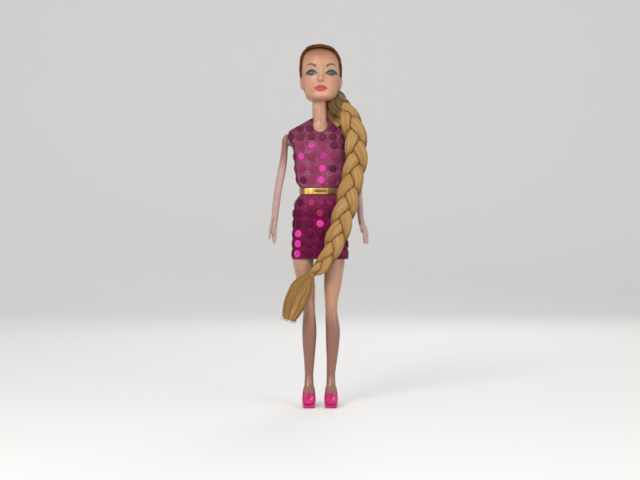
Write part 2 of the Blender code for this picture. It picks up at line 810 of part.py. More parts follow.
def make_band_and_tail(path):
    ahead = (path[-1] - path[-2]).normalized()
    end = path[-1] + ahead * (GAP + STRAND_RADIUS * braid_scale(1) / 2)
    band_middle = end + ahead * (BAND_WIDTH / 2 + GAP)
    neck = [end, end + ahead * BAND_WIDTH / 2, end + ahead * (BAND_WIDTH + 2 * GAP)]
    half_widths, half_depths = [TAIL_NECK_RADIUS] * 3, [TAIL_NECK_RADIUS] * 3
    points = list(neck)
    for sweep, depth, fall, width, thickness in TAIL_SHARES:
        points.append(neck[-1] + Vector((
            -sweep * TAIL_SWEEP, -depth * BRAID_DEPTH, -fall * TAIL_FALL
        )))
        half_widths.append(width * TAIL_WIDTH / 2)
        half_depths.append(thickness * TAIL_THICKNESS / 2)
    tail = strap_loft("hair_tail", points, half_widths, half_depths, LIMB_POINTS, "blonde_hair")
    inner = TAIL_NECK_RADIUS + GAP
    side = ahead.cross(Vector((0, -1, 0))).normalized()
    outward = side.cross(ahead)
    rings = []
    for radius, along in ((BAND_RADIUS, -1), (BAND_RADIUS, 1), (inner, 1), (inner, -1)):
        rings.append([
            band_middle + ahead * along * BAND_WIDTH / 2
            + (side * math.cos(math.tau * step / LIMB_POINTS)
               + outward * math.sin(math.tau * step / LIMB_POINTS)) * radius
            for step in range(LIMB_POINTS)
        ])
    band = loft_rings("braid_band", rings, "hair_elastic", hollow=True)
    return band, tail


# Rows down the arm: shares of its length below the shoulder axis, of the way from the upper arm
# out to the hand, of half its width for its half width, and of half its width for its depth
ARM_SHARES = (
    (-0.066, -0.24, 0.45, 0.72),
    (-0.044, -0.16, 0.70, 1.05),
    (0.000, -0.08, 0.79, 1.24),
    (0.076, 0.00, 0.76, 1.03),
    (0.200, 0.06, 0.88, 0.97),
    (0.316, 0.20, 0.99, 1.00),
    (0.392, 0.33, 0.91, 0.91),
    (0.545, 0.53, 0.84, 0.82),
    (0.697, 0.69, 0.80, 0.75),
    (0.785, 0.79, 0.72, 0.66),
    (0.848, 0.87, 0.88, 0.58),
    (0.905, 0.93, 0.94, 0.52),
    (0.962, 0.97, 0.79, 0.40),
    (1.000, 1.00, 0.52, 0.25),
)
HAND_FORWARD_SHARE = 0.03


def arm_sections(side):
    sections = []
    for drop, spread, width, depth in ARM_SHARES:
        x = UPPER_ARM_SPREAD + spread * ARM_SLANT
        y = BODY_SETBACK - max(drop, 0) ** 2 * HAND_FORWARD_SHARE * ARM_LENGTH
        deep = depth * ARM_WIDTH / 2
        sections.append(Section(
            side * x, y, SHOULDER_Z - drop * ARM_LENGTH, width * ARM_WIDTH / 2, deep, deep, 2.2, 0
        ))
    return sections


def make_arm(side):
    name = "left_arm" if side > 0 else "right_arm"
    arm = loft(name, arm_sections(side), "skin_vinyl", LIMB_POINTS)
    place = (side * (CAP_INNER_X + CAP_WIDTH / 2), BODY_SETBACK, SHOULDER_Z)
    half, rim = CAP_WIDTH / 2, CAP_WIDTH / 5
    cap_profile = (
        (0, half), (CAP_RADIUS - rim, half), (CAP_RADIUS, half - rim),
        (CAP_RADIUS, -half + rim), (CAP_RADIUS - rim, -half), (0, -half),
    )
    cap = turned(name + "_cap", cap_profile, place, True, None)
    join(arm, cap)
    socket = PEG_RADIUS + GAP
    deep = PEG_SOCKET_DEPTH + GAP
    socket_profile = ((0, deep), (socket, deep), (socket, -OVERRUN), (0, -OVERRUN))
    if side < 0:
        socket_profile = tuple((radius, -height) for radius, height in socket_profile[::-1])
    cut(arm, turned(name + "_socket_cutter", socket_profile,
                    (side * CAP_INNER_X, BODY_SETBACK, SHOULDER_Z), True, None))
    wall_inner = SHOULDER_WIDTH / 2 - TORSO_WALL
    flange_outer = wall_inner - PEG_FLANGE_SETBACK
    heights = (CAP_INNER_X + PEG_SOCKET_DEPTH, flange_outer, flange_outer - PEG_FLANGE_WIDTH)
    peg_profile = (
        (0, heights[0]), (PEG_RADIUS, heights[0]), (PEG_RADIUS, heights[1]),
        (PEG_FLANGE_RADIUS, heights[1]), (PEG_FLANGE_RADIUS, heights[2]), (0, heights[2]),
    )
    if side < 0:
        peg_profile = tuple((radius, -height) for radius, height in peg_profile[::-1])
    peg_name = ("left" if side > 0 else "right") + "_shoulder_peg"
    peg = turned(peg_name, peg_profile, (0, BODY_SETBACK, SHOULDER_Z), True, "inner_plastic")
    return arm, peg


# Rows down the thigh below its round top: shares of the thigh's length, then of the way from
# the hip's to the knee's spread, width, front and back
THIGH_SHARES = (
    (0.00, 0.00, 0.00, 0.00, 0.00),
    (0.18, -0.05, -0.03, -0.02, 0.02),
    (0.37, -0.03, -0.10, 0.00, 0.10),
    (0.57, 0.22, 0.16, 0.14, 0.28),
    (0.72, 0.46, 0.36, 0.40, 0.56),
    (0.89, 0.84, 0.84, 0.80, 0.88),
    (1.00, 1.00, 1.00, 1.00, 1.00),
)
DOME_STEPS = 4
# Rows down the shin: shares of its length, and its place, width, front and back as shares of
# the calf's own sizes
SHIN_SHARES = (
    (0.07, 0.985, 0.83, 0.80, 0.80),
    (0.19, 1.010, 0.92, 0.84, 0.94),
    (0.37, 1.045, 1.00, 0.86, 1.10),
    (0.56, 1.035, 0.92, 0.80, 1.02),
    (0.77, 1.000, 0.75, 0.68, 0.74),
)


def thigh_sections(side):
    """From the top of the round hip end down to the knee's axis."""
    knee_half, thigh_half = KNEE_WIDTH / 2, THIGH_WIDTH / 2
    rows = []
    for drop, spread, width, front, back in THIGH_SHARES:
        rows.append(Section(
            side * mix(HIP_SPREAD, KNEE_SPREAD, spread), BODY_SETBACK, HIP_Z - drop * THIGH_LENGTH,
            mix(thigh_half, knee_half, width), mix(THIGH_FRONT, KNEE_DEPTH / 2, front),
            mix(THIGH_BACK, KNEE_DEPTH / 2, back), 2.1, 0,
        ))
    dome = []
    for step in range(DOME_STEPS, 0, -1):
        angle = math.pi / 2 * step / (DOME_STEPS + 0.3)
        shrink = math.cos(angle)
        dome.append(rows[0]._replace(
            z=HIP_Z + HIP_BALL_RADIUS * math.sin(angle), half_width=thigh_half * shrink ** 0.7,
            front=THIGH_FRONT * shrink, back=THIGH_BACK * shrink,
        ))
    return dome + refined(rows, 2)


def shin_sections(side):
    """From the knee's axis down to the ankle."""
    half = CALF_WIDTH / 2
    deep = CALF_DEPTH / 2
    rows = [thigh_sections(side)[-1]]
    for drop, spread, width, front, back in SHIN_SHARES:
        rows.append(Section(
            side * KNEE_SPREAD * spread, mix(BODY_SETBACK, BODY_SETBACK + ANKLE_SET, drop),
            KNEE_Z - drop * SHIN_LENGTH, width * half, front * deep, back * deep, 2.1, 0,
        ))
    rows.append(Section(
        side * ANKLE_SPREAD, BODY_SETBACK + ANKLE_SET, ANKLE_HEIGHT, ANKLE_WIDTH / 2,
        ANKLE_DEPTH / 2, ANKLE_DEPTH / 2, 2.1, 0,
    ))
    return refined(rows, 2)


# Rows along the foot: shares of the reach, of the ankle's height, of a quarter turn, of half
# the foot's width, and of the foot's depth above and below
FOOT_SHARES = (
    (0.06, 0.800, 0.20, 0.80, 0.66, 0.84),
    (0.20, 0.600, 0.42, 0.84, 0.52, 0.92),
    (0.40, 0.420, 0.62, 0.90, 0.42, 0.50),
    (0.60, 0.290, 0.80, 1.00, 0.35, 0.36),
    (0.80, 0.228, 0.94, 0.95, 0.28, 0.29),
    (0.93, 0.205, 1.00, 0.72, 0.22, 0.22),
    (1.00, 0.195, 1.00, 0.42, 0.12, 0.14),
)


def foot_sections(side, extra):
    sections = []
    for reach, height, turn, width, above, below in FOOT_SHARES:
        section = Section(
            side * ANKLE_SPREAD, BODY_SETBACK + ANKLE_SET - reach * FOOT_REACH,
            height * ANKLE_HEIGHT, width * FOOT_WIDTH / 2, above * FOOT_DEPTH, below * FOOT_DEPTH,
            2.2, turn * math.pi / 2,
        )
        sections.append(grown(section, extra))
    toe = sections[-1]
    sections[-1] = toe._replace(y=toe.y - extra)
    return sections


def core_bar(name, side, high, low, extra, material):
    x = side * KNEE_SPREAD
    wide, deep = CORE_WIDTH / 2 + extra, CORE_DEPTH / 2 + extra
    return box(name, (x - wide, BODY_SETBACK - deep, low), (x + wide, BODY_SETBACK + deep, high),
               material)


def round_along_x(name, radius, low, high, y, z, material):
    profile = ((0, high), (radius, high), (radius, low), (0, low))
    return turned(name, profile, (0, y, z), True, material)


def make_knee(side, prefix):
    """The click knee's two stiff cores and the pin between them."""
    x = side * KNEE_SPREAD
    y = BODY_SETBACK
    eye_half = CORE_EYE_WIDTH / 2
    ear_low = eye_half + GAP
    ear_high = ear_low + CORE_EAR_WIDTH
    neck = CORE_EYE_RADIUS + CORE_CLEARANCE
    thigh_core = core_bar(
        prefix + "_thigh_core", side, HIP_Z - CORE_TOP_DROP, KNEE_Z + neck, 0, "inner_plastic"
    )
    tongue = box(prefix + "_tongue", (x - eye_half, y - CORE_DEPTH / 2, KNEE_Z),
                 (x + eye_half, y + CORE_DEPTH / 2, KNEE_Z + neck + CORE_CLEARANCE))
    eye = round_along_x(prefix + "_eye", CORE_EYE_RADIUS, x - eye_half, x + eye_half, y, KNEE_Z, None)
    hole = KNEE_PIN_RADIUS + GAP
    bore = round_along_x(prefix + "_pin_cutter", hole, x - CORE_WIDTH, x + CORE_WIDTH, y, KNEE_Z, None)
    join(thigh_core, tongue, eye)
    cut(thigh_core, bore)
    shin_core = core_bar(
        prefix + "_shin_core", side, KNEE_Z - neck, ANKLE_HEIGHT + CORE_FOOT_RISE, 0, "inner_plastic"
    )
    for number, sign in (("1", 1), ("2", -1)):
        low, high = sorted((x + sign * ear_low, x + sign * ear_high))
        arm = box(prefix + "_ear_arm_" + number, (low, y - CORE_DEPTH / 2, KNEE_Z - neck - CORE_DEPTH),
                  (high, y + CORE_DEPTH / 2, KNEE_Z))
        ear = round_along_x(prefix + "_ear_" + number, CORE_EYE_RADIUS, low, high, y, KNEE_Z, None)
        join(shin_core, arm, ear)
    cut(shin_core, bore)
    pin = round_along_x(prefix + "_knee_pin", KNEE_PIN_RADIUS, x - ear_high - GAP, x + ear_high + GAP,
                        y, KNEE_Z, "axle_plastic")
    return thigh_core, shin_core, pin


# Side view of the sole and heel: shares of the shoe's length behind its toe, and of the
# ankle's height
SOLE_SHARES = (
    (0.000, 0.060),
    (0.030, 0.000),
    (0.380, 0.000),
    (0.460, 0.055),
    (0.640, 0.215),
    (0.780, 0.270),
    (0.790, 0.000),
    (0.985, 0.000),
    (1.000, 0.430),
    (0.900, 0.460),
    (0.760, 0.400),
    (0.560, 0.270),
    (0.340, 0.160),
    (0.060, 0.130),
)
# Top edge of the shoe's upper, in the same shares
TOPLINE_SHARES = (
    (1.15, 0.74),
    (0.86, 0.66),
    (0.62, 0.42),
    (0.36, 0.36),
    (0.30, 0.62),
    (0.30, 2.00),
    (1.15, 2.00),
)


def shoe_outline(share_table):
    toe = BODY_SETBACK + ANKLE_SET - FOOT_REACH - SHOE_WALL - GAP
    return [(toe + back * SHOE_LENGTH, high * ANKLE_HEIGHT) for back, high in share_table]


def make_shoe(side, prefix, leg):
    x = side * ANKLE_SPREAD
    half = SHOE_WIDTH / 2
    shoe = slab(prefix + "_shoe", shoe_outline(SOLE_SHARES), x - half, x + half, "shoe_plastic",
                SHOE_EDGE)
    upper = loft(prefix + "_upper", foot_sections(side, GAP + SHOE_WALL), None, LIMB_POINTS)
    throat = slab(prefix + "_throat_cutter", shoe_outline(TOPLINE_SHARES), x - SHOE_WIDTH,
                  x + SHOE_WIDTH, None)
    inside = [grown(section, GAP) for section in leg[-4:]] + foot_sections(side, GAP)
    foot_cutter = loft(prefix + "_foot_cutter", inside, None, LIMB_POINTS)
    join(shoe, upper)
    cut(shoe, foot_cutter, throat)
    return shoe


def make_leg(side):
    """One leg: vinyl thigh and shin, the soft knee between them, cores, pin and shoe."""
    prefix = "left" if side > 0 else "right"
    thigh_all, shin_all = thigh_sections(side), shin_sections(side)
    thigh_low, shin_high = KNEE_Z + KNEE_REACH, KNEE_Z - KNEE_REACH
    thigh = loft(prefix + "_thigh", cropped(thigh_all, thigh_all[0].z, thigh_low), "skin_vinyl",
                 LIMB_POINTS)
    axle_cutter = bpy.data.objects["axle_cutter"]
    thigh_bore = core_bar(prefix + "_thigh_core_cutter", side, HIP_Z - CORE_TOP_DROP + GAP,
                          thigh_low - OVERRUN, GAP, None)
    cut(thigh, axle_cutter, thigh_bore)
    knee_high, knee_low = thigh_low - GAP, shin_high + GAP
    outer = cropped(thigh_all, knee_high, KNEE_Z) + cropped(shin_all, KNEE_Z, knee_low)[1:]
    inner = [grown(section, -SLEEVE_WALL) for section in outer]
    knee_sleeve = sleeve(prefix + "_knee_sleeve", outer, inner, "skin_vinyl", LIMB_POINTS)
    shin_sections_all = cropped(shin_all, shin_high, ANKLE_HEIGHT)
    leg = shin_sections_all + foot_sections(side, 0)
    shin = loft(prefix + "_shin", leg, "skin_vinyl", LIMB_POINTS)
    shin_bore = core_bar(prefix + "_shin_core_cutter", side, shin_high + OVERRUN,
                         ANKLE_HEIGHT + CORE_FOOT_RISE - GAP, GAP, None)
    cut(shin, shin_bore)
    thigh_core, shin_core, pin = make_knee(side, prefix)
    shoe = make_shoe(side, prefix, shin_sections_all)
    hip = joint_axis(prefix + "_hip_axis", (side * HIP_SPREAD, BODY_SETBACK, HIP_Z))
    knee = joint_axis(prefix + "_knee_axis", (side * KNEE_SPREAD, BODY_SETBACK, KNEE_Z), hip)
    hang(hip, thigh, thigh_core, knee_sleeve, pin)
    hang(knee, shin, shin_core, shoe)


# Rows of the dress between the collar and the shoulder, as the torso's rows are
COLLAR_TO_SHOULDER_SHARES = (
    (0.28, 0.22, 0.10, 0.30, 0.1),
    (0.62, 0.68, 0.45, 0.60, 0.4),
    (0.88, 0.95, 0.85, 0.90, 0.8),
)
# Rows below the shoulder edge: shares of the drop to the bust, and of the way from the
# shoulder's to the bust's width, front and back
ARMHOLE_SHARES = (
    (0.38, 0.02, 0.36, 0.40, 0.0),
    (0.56, 0.46, 0.58, 0.60, 0.5),
    (0.74, 0.88, 0.84, 0.80, 1.0),
)
# Rows between the bust and the waist: the cloth hangs nearly straight and is drawn in by the belt
BODICE_SHARES = (
    (0.30, 0.02, 0.42, 0.14, 0.5),
    (0.57, 0.15, 0.68, 0.34, 0.6),
    (0.72, 0.38, 0.80, 0.52, 0.8),
    (0.86, 0.70, 0.92, 0.78, 0.9),
)
# The round neckline: shares of half its width and of its height above its lowest point
NECKLINE_SHARES = ((0.0, 0.0), (0.46, 0.10), (0.68, 0.24), (0.80, 0.44), (0.88, 0.68), (1.0, 1.0))


def dress_sections():
    """The outside of the bodice, from the collar's edge to the waist."""
    cloth = DRESS_EASE + DRESS_THICKNESS
    neck = torso_sections()[0]
    collar = grown(neck, 2 * cloth)._replace(z=NECK_BASE_Z + DRESS_COLLAR_RISE, squareness=2.1)
    shoulder = Section(
        0, BODY_SETBACK, SHOULDER_TOP_Z + cloth, DRESS_SHOULDER / 2, SHOULDER_DEPTH / 2 + 2 * cloth,
        SHOULDER_DEPTH / 2 + 2 * cloth, 4.0, 0,
    )
    bust = body_section(BUST_Z, BUST_WIDTH + 2 * cloth, BUST_FRONT + cloth, BUST_BACK + cloth, 2.3)
    waist = body_section(
        WAIST_Z, WAIST_WIDTH + 2 * cloth, WAIST_DEPTH / 2 + cloth, WAIST_DEPTH / 2 + cloth, 2.1
    )
    sections = [collar]
    sections += [between(collar, shoulder, *shares) for shares in COLLAR_TO_SHOULDER_SHARES]
    sections += [shoulder]
    sections += [between(shoulder, bust, *shares) for shares in ARMHOLE_SHARES]
    sections += [bust]
    sections += [between(bust, waist, *shares) for shares in BODICE_SHARES]
    return refined(sections + [waist], 2)


def armhole_cutter(side):
    low, high = CAP_INNER_X - GAP, DRESS_SHOULDER
    if side < 0:
        low, high = -high, -low
    name = "armhole_cutter_" + ("left" if side > 0 else "right")
    return round_along_x(name, ARMHOLE_RADIUS, low, high, BODY_SETBACK, SHOULDER_Z, None)


def neckline_cutter(top):
    """A rounded wedge through the front of the collar, down to the neckline's lowest point."""
    half = NECKLINE_WIDTH / 2
    right = [(x * half, top + (z - 1) * NECKLINE_DEPTH) for x, z in NECKLINE_SHARES]
    right.append((half, top + OVERRUN))
    left = [(-x, z) for x, z in right[:0:-1]]
    bm = bmesh.new()
    face = bm.faces.new([bm.verts.new((x, BODY_SETBACK, z)) for x, z in right + left])
    drawn = bmesh.ops.extrude_face_region(bm, geom=[face])
    moved = [item for item in drawn["geom"] if isinstance(item, bmesh.types.BMVert)]
    bmesh.ops.translate(bm, verts=moved, vec=(0, -DRESS_SHOULDER, 0))
    return finish_mesh("neckline_cutter", bm, None)


def make_bodice():
    sections = dress_sections()
    low = WAIST_Z + GAP / 2
    outside = cropped(sections, sections[0].z, low)
    inside = []
    for section in outside:
        drop = DRESS_THICKNESS if section.z > SHOULDER_TOP_Z else 0
        inside.append(grown(section, -DRESS_THICKNESS)._replace(z=section.z - drop))
    inside[0] = inside[0]._replace(z=outside[0].z)
    bodice = sleeve("dress_bodice", outside, inside, "dress_mesh", BODY_POINTS)
    cut(bodice, armhole_cutter(1), armhole_cutter(-1), neckline_cutter(sections[0].z))


# Rows down the skirt: shares of its length, of the way from the waist's to the hem's width,
# front and back
SKIRT_SHARES = (
    (0.00, 0.00, 0.00, 0.00),
    (0.08, 0.26, 0.18, 0.20),
    (0.16, 0.62, 0.38, 0.42),
    (0.32, 0.87, 0.76, 0.80),
    (0.50, 0.95, 0.98, 1.02),
    (0.66, 0.98, 1.02, 1.04),
    (1.00, 1.00, 0.96, 0.96),
)


def skirt_sections():
    cloth = DRESS_EASE + DRESS_THICKNESS
    waist = dress_sections()[-1]
    hem = body_section(HEM_Z, SKIRT_WIDTH, SKIRT_FRONT, SKIRT_BACK, 2.5)
    high = WAIST_Z - GAP / 2
    sections = []
    for drop, width, front, back in SKIRT_SHARES:
        row = between(waist, hem, drop, width, front, back, min(2 * drop, 1))
        sections.append(row._replace(z=mix(high, HEM_Z, drop)))
    return refined(sections, 2), cloth


def make_skirt():
    outside, _ = skirt_sections()
    inside = [grown(section, -DRESS_THICKNESS) for section in outside]
    sleeve("dress_skirt", outside, inside, "dress_mesh", BODY_POINTS)


def belt_sections(extra):
    """The dress's outside around the waist, straight up and down, grown by a clearance."""
    half = BELT_HEIGHT / 2
    rows = dress_sections()[:-1] + skirt_sections()[0]
    rows = cropped(rows, WAIST_Z + half, WAIST_Z - half)
    wide = max(row.half_width for row in rows)
    front = max(row.front for row in rows)
    back = max(row.back for row in rows)
    waist = dress_sections()[-1]._replace(half_width=wide, front=front, back=back)
    waist = grown(waist, extra)
    return [waist._replace(z=WAIST_Z + half), waist._replace(z=WAIST_Z - half)]


def patch(name, inner, outer, columns, material):
    """A plate that follows a surface, between an inner and an outer grid of points."""
    bm = bmesh.new()
    grids = [[[bm.verts.new(point) for point in row] for row in grid] for grid in (inner, outer)]
    rows = len(inner)
    for grid in grids:
        for row in range(rows - 1):
            for column in range(columns - 1):
                bm.faces.new((grid[row][column], grid[row][column + 1],
                              grid[row + 1][column + 1], grid[row + 1][column]))
    rim = [(0, column) for column in range(columns)]
    rim += [(row, columns - 1) for row in range(1, rows)]
    rim += [(rows - 1, column) for column in range(columns - 2, -1, -1)]
    rim += [(row, 0) for row in range(rows - 2, 0, -1)]
    for here, there in zip(rim, rim[1:] + rim[:1]):
        bm.faces.new([grids[0][here[0]][here[1]], grids[0][there[0]][there[1]],
                      grids[1][there[0]][there[1]], grids[1][here[0]][here[1]]])
    return finish_mesh(name, bm, material)


def angle_at(section, x):
    """The angle at which the section's front is x from the middle plane."""
    reach = abs(x) / section.half_width
    angle = math.acos(min(reach, 1) ** (section.squareness / 2))
    return angle if x > 0 else math.pi - angle


def surface_patch(name, sections, width, place, facing, gap, thickness, columns, material):
    """A plate on the front or the back of some sections."""
    grids = []
    for extra in (gap, gap + thickness):
        grid = []
        for section in sections:
            larger = grown(section, extra)
            places = [place - width / 2 + width * column / (columns - 1) for column in range(columns)]
            grid.append([section_point(larger, facing * angle_at(larger, x)) for x in places])
        grids.append(grid)
    return patch(name, grids[0], grids[1], columns, material)


BUCKLE_OFFSET_SHARE = 0.06
CLOSURE_TOP_SHARE = 0.86
CLOSURE_LOW_SHARE = 0.12


def make_belt():
    inside, outside = belt_sections(GAP), belt_sections(GAP + BELT_THICKNESS)
    sleeve("belt", outside, inside, "belt_ribbon", BODY_POINTS)
    half = BELT_HEIGHT / 2
    place = BUCKLE_OFFSET_SHARE * BUCKLE_WIDTH
    rows = [outside[0]._replace(z=WAIST_Z + half), outside[0]._replace(z=WAIST_Z - half)]
    buckle = surface_patch("belt_buckle", rows, BUCKLE_WIDTH, place, 1, GAP, BUCKLE_THICKNESS, 6,
                           "buckle_metal")
    slot_half = BUCKLE_WIDTH / 2 - BUCKLE_RIM
    slot_rise = half - BUCKLE_RIM
    front = BODY_SETBACK - outside[0].front
    slot = box("buckle_slot_cutter", (place - slot_half, front - OVERRUN, WAIST_Z - slot_rise),
               (place + slot_half, front + OVERRUN, WAIST_Z + slot_rise))
    cut(buckle, slot)


def make_closure():
    """The hook-and-loop strip down the middle of the dress's back."""
    rows = dress_sections()
    high = mix(WAIST_Z, rows[0].z, CLOSURE_TOP_SHARE)
    low = mix(WAIST_Z, rows[0].z, CLOSURE_LOW_SHARE)
    surface_patch("dress_closure", cropped(rows, high, low), CLOSURE_WIDTH, 0, -1, GAP,
                  CLOSURE_THICKNESS, 4, "closure_tape")


def new_collection(name):
    collection = bpy.data.collections.new(name)
    bpy.context.scene.collection.children.link(collection)
    return collection


for old in list(bpy.data.objects):
    bpy.data.objects.remove(old)
PARTS = new_collection("fashion_doll")
CUTTERS = new_collection("cutters")

make_torso()
neck_axis = joint_axis("neck_axis", (0, BODY_SETBACK, HEAD_BOTTOM_Z))
hang(neck_axis, make_head(), make_hair_cap())
strand_objects, braid_line = make_braid()
make_gather(braid_line[0], (braid_line[1] - braid_line[0]).normalized())
make_band_and_tail(braid_line)
for arm_side in (1, -1):
    arm_parts = make_arm(arm_side)
    arm_axis = joint_axis(
        ("left" if arm_side > 0 else "right") + "_shoulder_axis",
        (arm_side * CAP_INNER_X, BODY_SETBACK, SHOULDER_Z),
    )
    hang(arm_axis, *arm_parts)
    make_leg(arm_side)
make_bodice()
make_skirt()
make_belt()
make_closure()
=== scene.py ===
"""Looks of the fashion doll: skin, painted face, combed and braided hair, sequinned dress."""

import math

import bmesh
import bpy
import numpy as np
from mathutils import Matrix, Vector


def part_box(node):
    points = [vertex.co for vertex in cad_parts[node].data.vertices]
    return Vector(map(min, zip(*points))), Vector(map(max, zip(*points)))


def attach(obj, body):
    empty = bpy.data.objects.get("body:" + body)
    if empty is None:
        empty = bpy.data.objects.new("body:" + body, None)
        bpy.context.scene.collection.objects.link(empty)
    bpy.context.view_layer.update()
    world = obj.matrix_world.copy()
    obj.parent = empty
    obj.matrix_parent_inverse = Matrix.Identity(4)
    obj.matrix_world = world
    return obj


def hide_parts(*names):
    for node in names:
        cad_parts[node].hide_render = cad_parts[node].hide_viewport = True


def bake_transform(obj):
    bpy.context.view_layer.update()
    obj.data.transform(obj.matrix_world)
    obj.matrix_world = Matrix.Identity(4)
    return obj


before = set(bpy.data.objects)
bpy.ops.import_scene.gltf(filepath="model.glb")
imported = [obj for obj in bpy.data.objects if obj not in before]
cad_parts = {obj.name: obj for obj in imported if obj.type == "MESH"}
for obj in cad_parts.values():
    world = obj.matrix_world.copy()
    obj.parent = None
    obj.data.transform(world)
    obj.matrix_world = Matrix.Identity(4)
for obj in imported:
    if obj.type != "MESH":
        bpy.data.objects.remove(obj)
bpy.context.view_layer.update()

# Lengths are in millimetres from here on, and MM turns them into the frame's metres.
MM = 0.001
# the body's middle plane, the height of the shoulders' axis and of the belt
BODY_Y = 2.2
SHOULDER_Z = 205.0
BELT_Z = 166.0
SIDES = ((1, "left"), (-1, "right"))


# Curves and grids
def smooth_curve(knots, values, places):
    """A curve through the values that never overshoots, read at places. Sizes in columns."""
    knots, values = np.asarray(knots, float), np.asarray(values, float)
    if values.ndim == 1:
        return smooth_curve(knots, values[:, None], places)[:, 0]
    step = np.diff(knots)[:, None]
    rate = np.diff(values, axis=0) / step
    slope = np.zeros_like(values)
    slope[0], slope[-1] = rate[0], rate[-1]
    before, after = rate[:-1], rate[1:]
    total = np.where(before * after > 0, before + after, 1)
    slope[1:-1] = np.where(before * after > 0, 2 * before * after / total, 0)
    places = np.clip(np.asarray(places, float), knots[0], knots[-1])
    index = np.clip(np.searchsorted(knots, places, side="right") - 1, 0, len(step) - 1)
    t = ((places - knots[index]) / step[index, 0])[:, None]
    h = step[index]
    return (
        (1 + 2 * t) * (1 - t) ** 2 * values[index] + t * (1 - t) ** 2 * h * slope[index]
        + t * t * (3 - 2 * t) * values[index + 1] + t * t * (t - 1) * h * slope[index + 1]
    )


def dense(rows, count):
    """More rows, on a smooth curve through the given ones."""
    return smooth_curve(np.arange(len(rows)), rows, np.linspace(0, len(rows) - 1, count))


def between(places, knots, table):
    """The table's rows at the places, on straight lines between its knots."""
    return np.stack([np.interp(places, knots, column) for column in np.transpose(table)], axis=-1)


def unit(vectors):
    """The vectors, each with its length made 1."""
    return vectors / np.linalg.norm(vectors, axis=-1, keepdims=True)


def far_along(line):
    """How far each point of a line lies from its start, along the line."""
    return np.concatenate([[0], np.cumsum(np.linalg.norm(np.diff(line, axis=0), axis=1))])


def even_path(points, count):
    """Points at even distances on a smooth curve through the given ones, and its length."""
    coarse = dense(points, 400)
    far = far_along(coarse)
    return between(np.linspace(0, far[-1], count), far, coarse), far[-1]


def path_frames(path):
    """The directions ahead, to the side and outward at each point of a path."""
    ahead = unit(np.gradient(path, axis=0))
    side = unit(np.cross(ahead, (0, -1, 0)))
    return ahead, side, np.cross(side, ahead)


def angles_of(count, crowd=0.0):
    """Angles round a section. The crowd sets those at the front closer together."""
    turn = np.arange(count) * math.tau / count
    return turn + crowd * np.sin(2 * turn) * (np.sin(turn) > 0)


def ring_points(rows, angles):
    """Points (row, angle, 3) on the outlines of the rows. A row has x, y, z, half width, how far
    it reaches to the front and to the back, squareness and tilt."""
    x, y, z, wide, front, back, square, tilt = np.atleast_2d(rows).T[..., None]
    c, s = np.cos(np.atleast_2d(angles)), np.sin(np.atleast_2d(angles))
    power = 2 / square
    across = wide * np.sign(c) * np.abs(c) ** power
    deep = np.where(s > 0, front, back) * np.sign(s) * np.abs(s) ** power
    return np.stack([x + across, y - deep * np.cos(tilt), z + deep * np.sin(tilt)], axis=2)


def swept(line, first, second, wide, deep, count, swell=1.0):
    """Rings round a line, from two directions across it and the half widths along them."""
    angle = angles_of(count)
    across = np.cos(angle) * np.reshape(wide, (-1, 1)) * swell
    out = np.sin(angle) * np.reshape(deep, (-1, 1)) * swell
    first, second = np.atleast_2d(first)[:, None], np.atleast_2d(second)[:, None]
    return line[:, None] + first * across[..., None] + second * out[..., None]


def grid_faces(rows, count, closed=True, start=0):
    faces = []
    for row in range(rows - 1):
        low = start + row * count
        for step in range(count if closed else count - 1):
            following = (step + 1) % count
            faces.append((low + step, low + following, low + count + following, low + count + step))
    return faces


def looped_faces(rows, count):
    """Faces of a grid that closes both along its rows and from the last row to the first."""
    last = (rows - 1) * count
    return grid_faces(rows, count) + [
        (last + step, last + (step + 1) % count, (step + 1) % count, step) for step in range(count)
    ]


def shell(outer, inner):
    """Points and faces of a solid between two open grids of the same size."""
    rows, count = outer.shape[:2]
    shift = rows * count
    faces = grid_faces(rows, count, False)
    faces += [tuple(shift + i for i in face[::-1]) for face in faces]
    for row in range(rows - 1):
        for column in (0, count - 1):
            a, b = row * count + column, (row + 1) * count + column
            faces.append((a, b, shift + b, shift + a))
    for row in (0, rows - 1):
        for column in range(count - 1):
            a, b = row * count + column, row * count + column + 1
            faces.append((a, b, shift + b, shift + a))
    return np.concatenate([outer.reshape(-1, 3), inner.reshape(-1, 3)]), faces


def tube(rings, start=0):
    """Points and faces of a closed tube with an end point in the middle of each end."""
    rows, count = rings.shape[:2]
    faces = grid_faces(rows, count, True, start)
    first, low = start + rows * count, start + (rows - 1) * count
    for step in range(count):
        following = (step + 1) % count
        faces.append((first, start + following, start + step))
        faces.append((first + 1, low + step, low + following))
    return with_ends(rings), faces


def joined(parts):
    """Points and faces of several tubes as one mesh."""
    verts, faces, start = [], [], 0
    for rings in parts:
        points, sides = tube(rings, start)
        verts.append(points)
        faces += sides
        start += len(points)
    return np.concatenate(verts), faces


def with_ends(values):
    """The values on a tube's rings, and the means of its end rings for its two end points."""
    flat = values.reshape((-1,) + values.shape[2:])
    return np.concatenate([flat, values[:1].mean(1), values[-1:].mean(1)])


# Objects
def new_object(name, mesh):
    thing = bpy.data.objects.new(name, mesh)
    bpy.context.scene.collection.objects.link(thing)
    return thing


def add_attribute(mesh, name, values):
    values = np.asarray(values, np.float32)
    kind, key = ("FLOAT", "value") if values.ndim == 1 else ("FLOAT_VECTOR", "vector")
    mesh.attributes.new(name, kind, "POINT").data.foreach_set(key, values.ravel())


def face_outward(mesh):
    bm = bmesh.new()
    bm.from_mesh(mesh)
    bmesh.ops.recalc_face_normals(bm, faces=bm.faces)
    bm.to_mesh(mesh)
    bm.free()


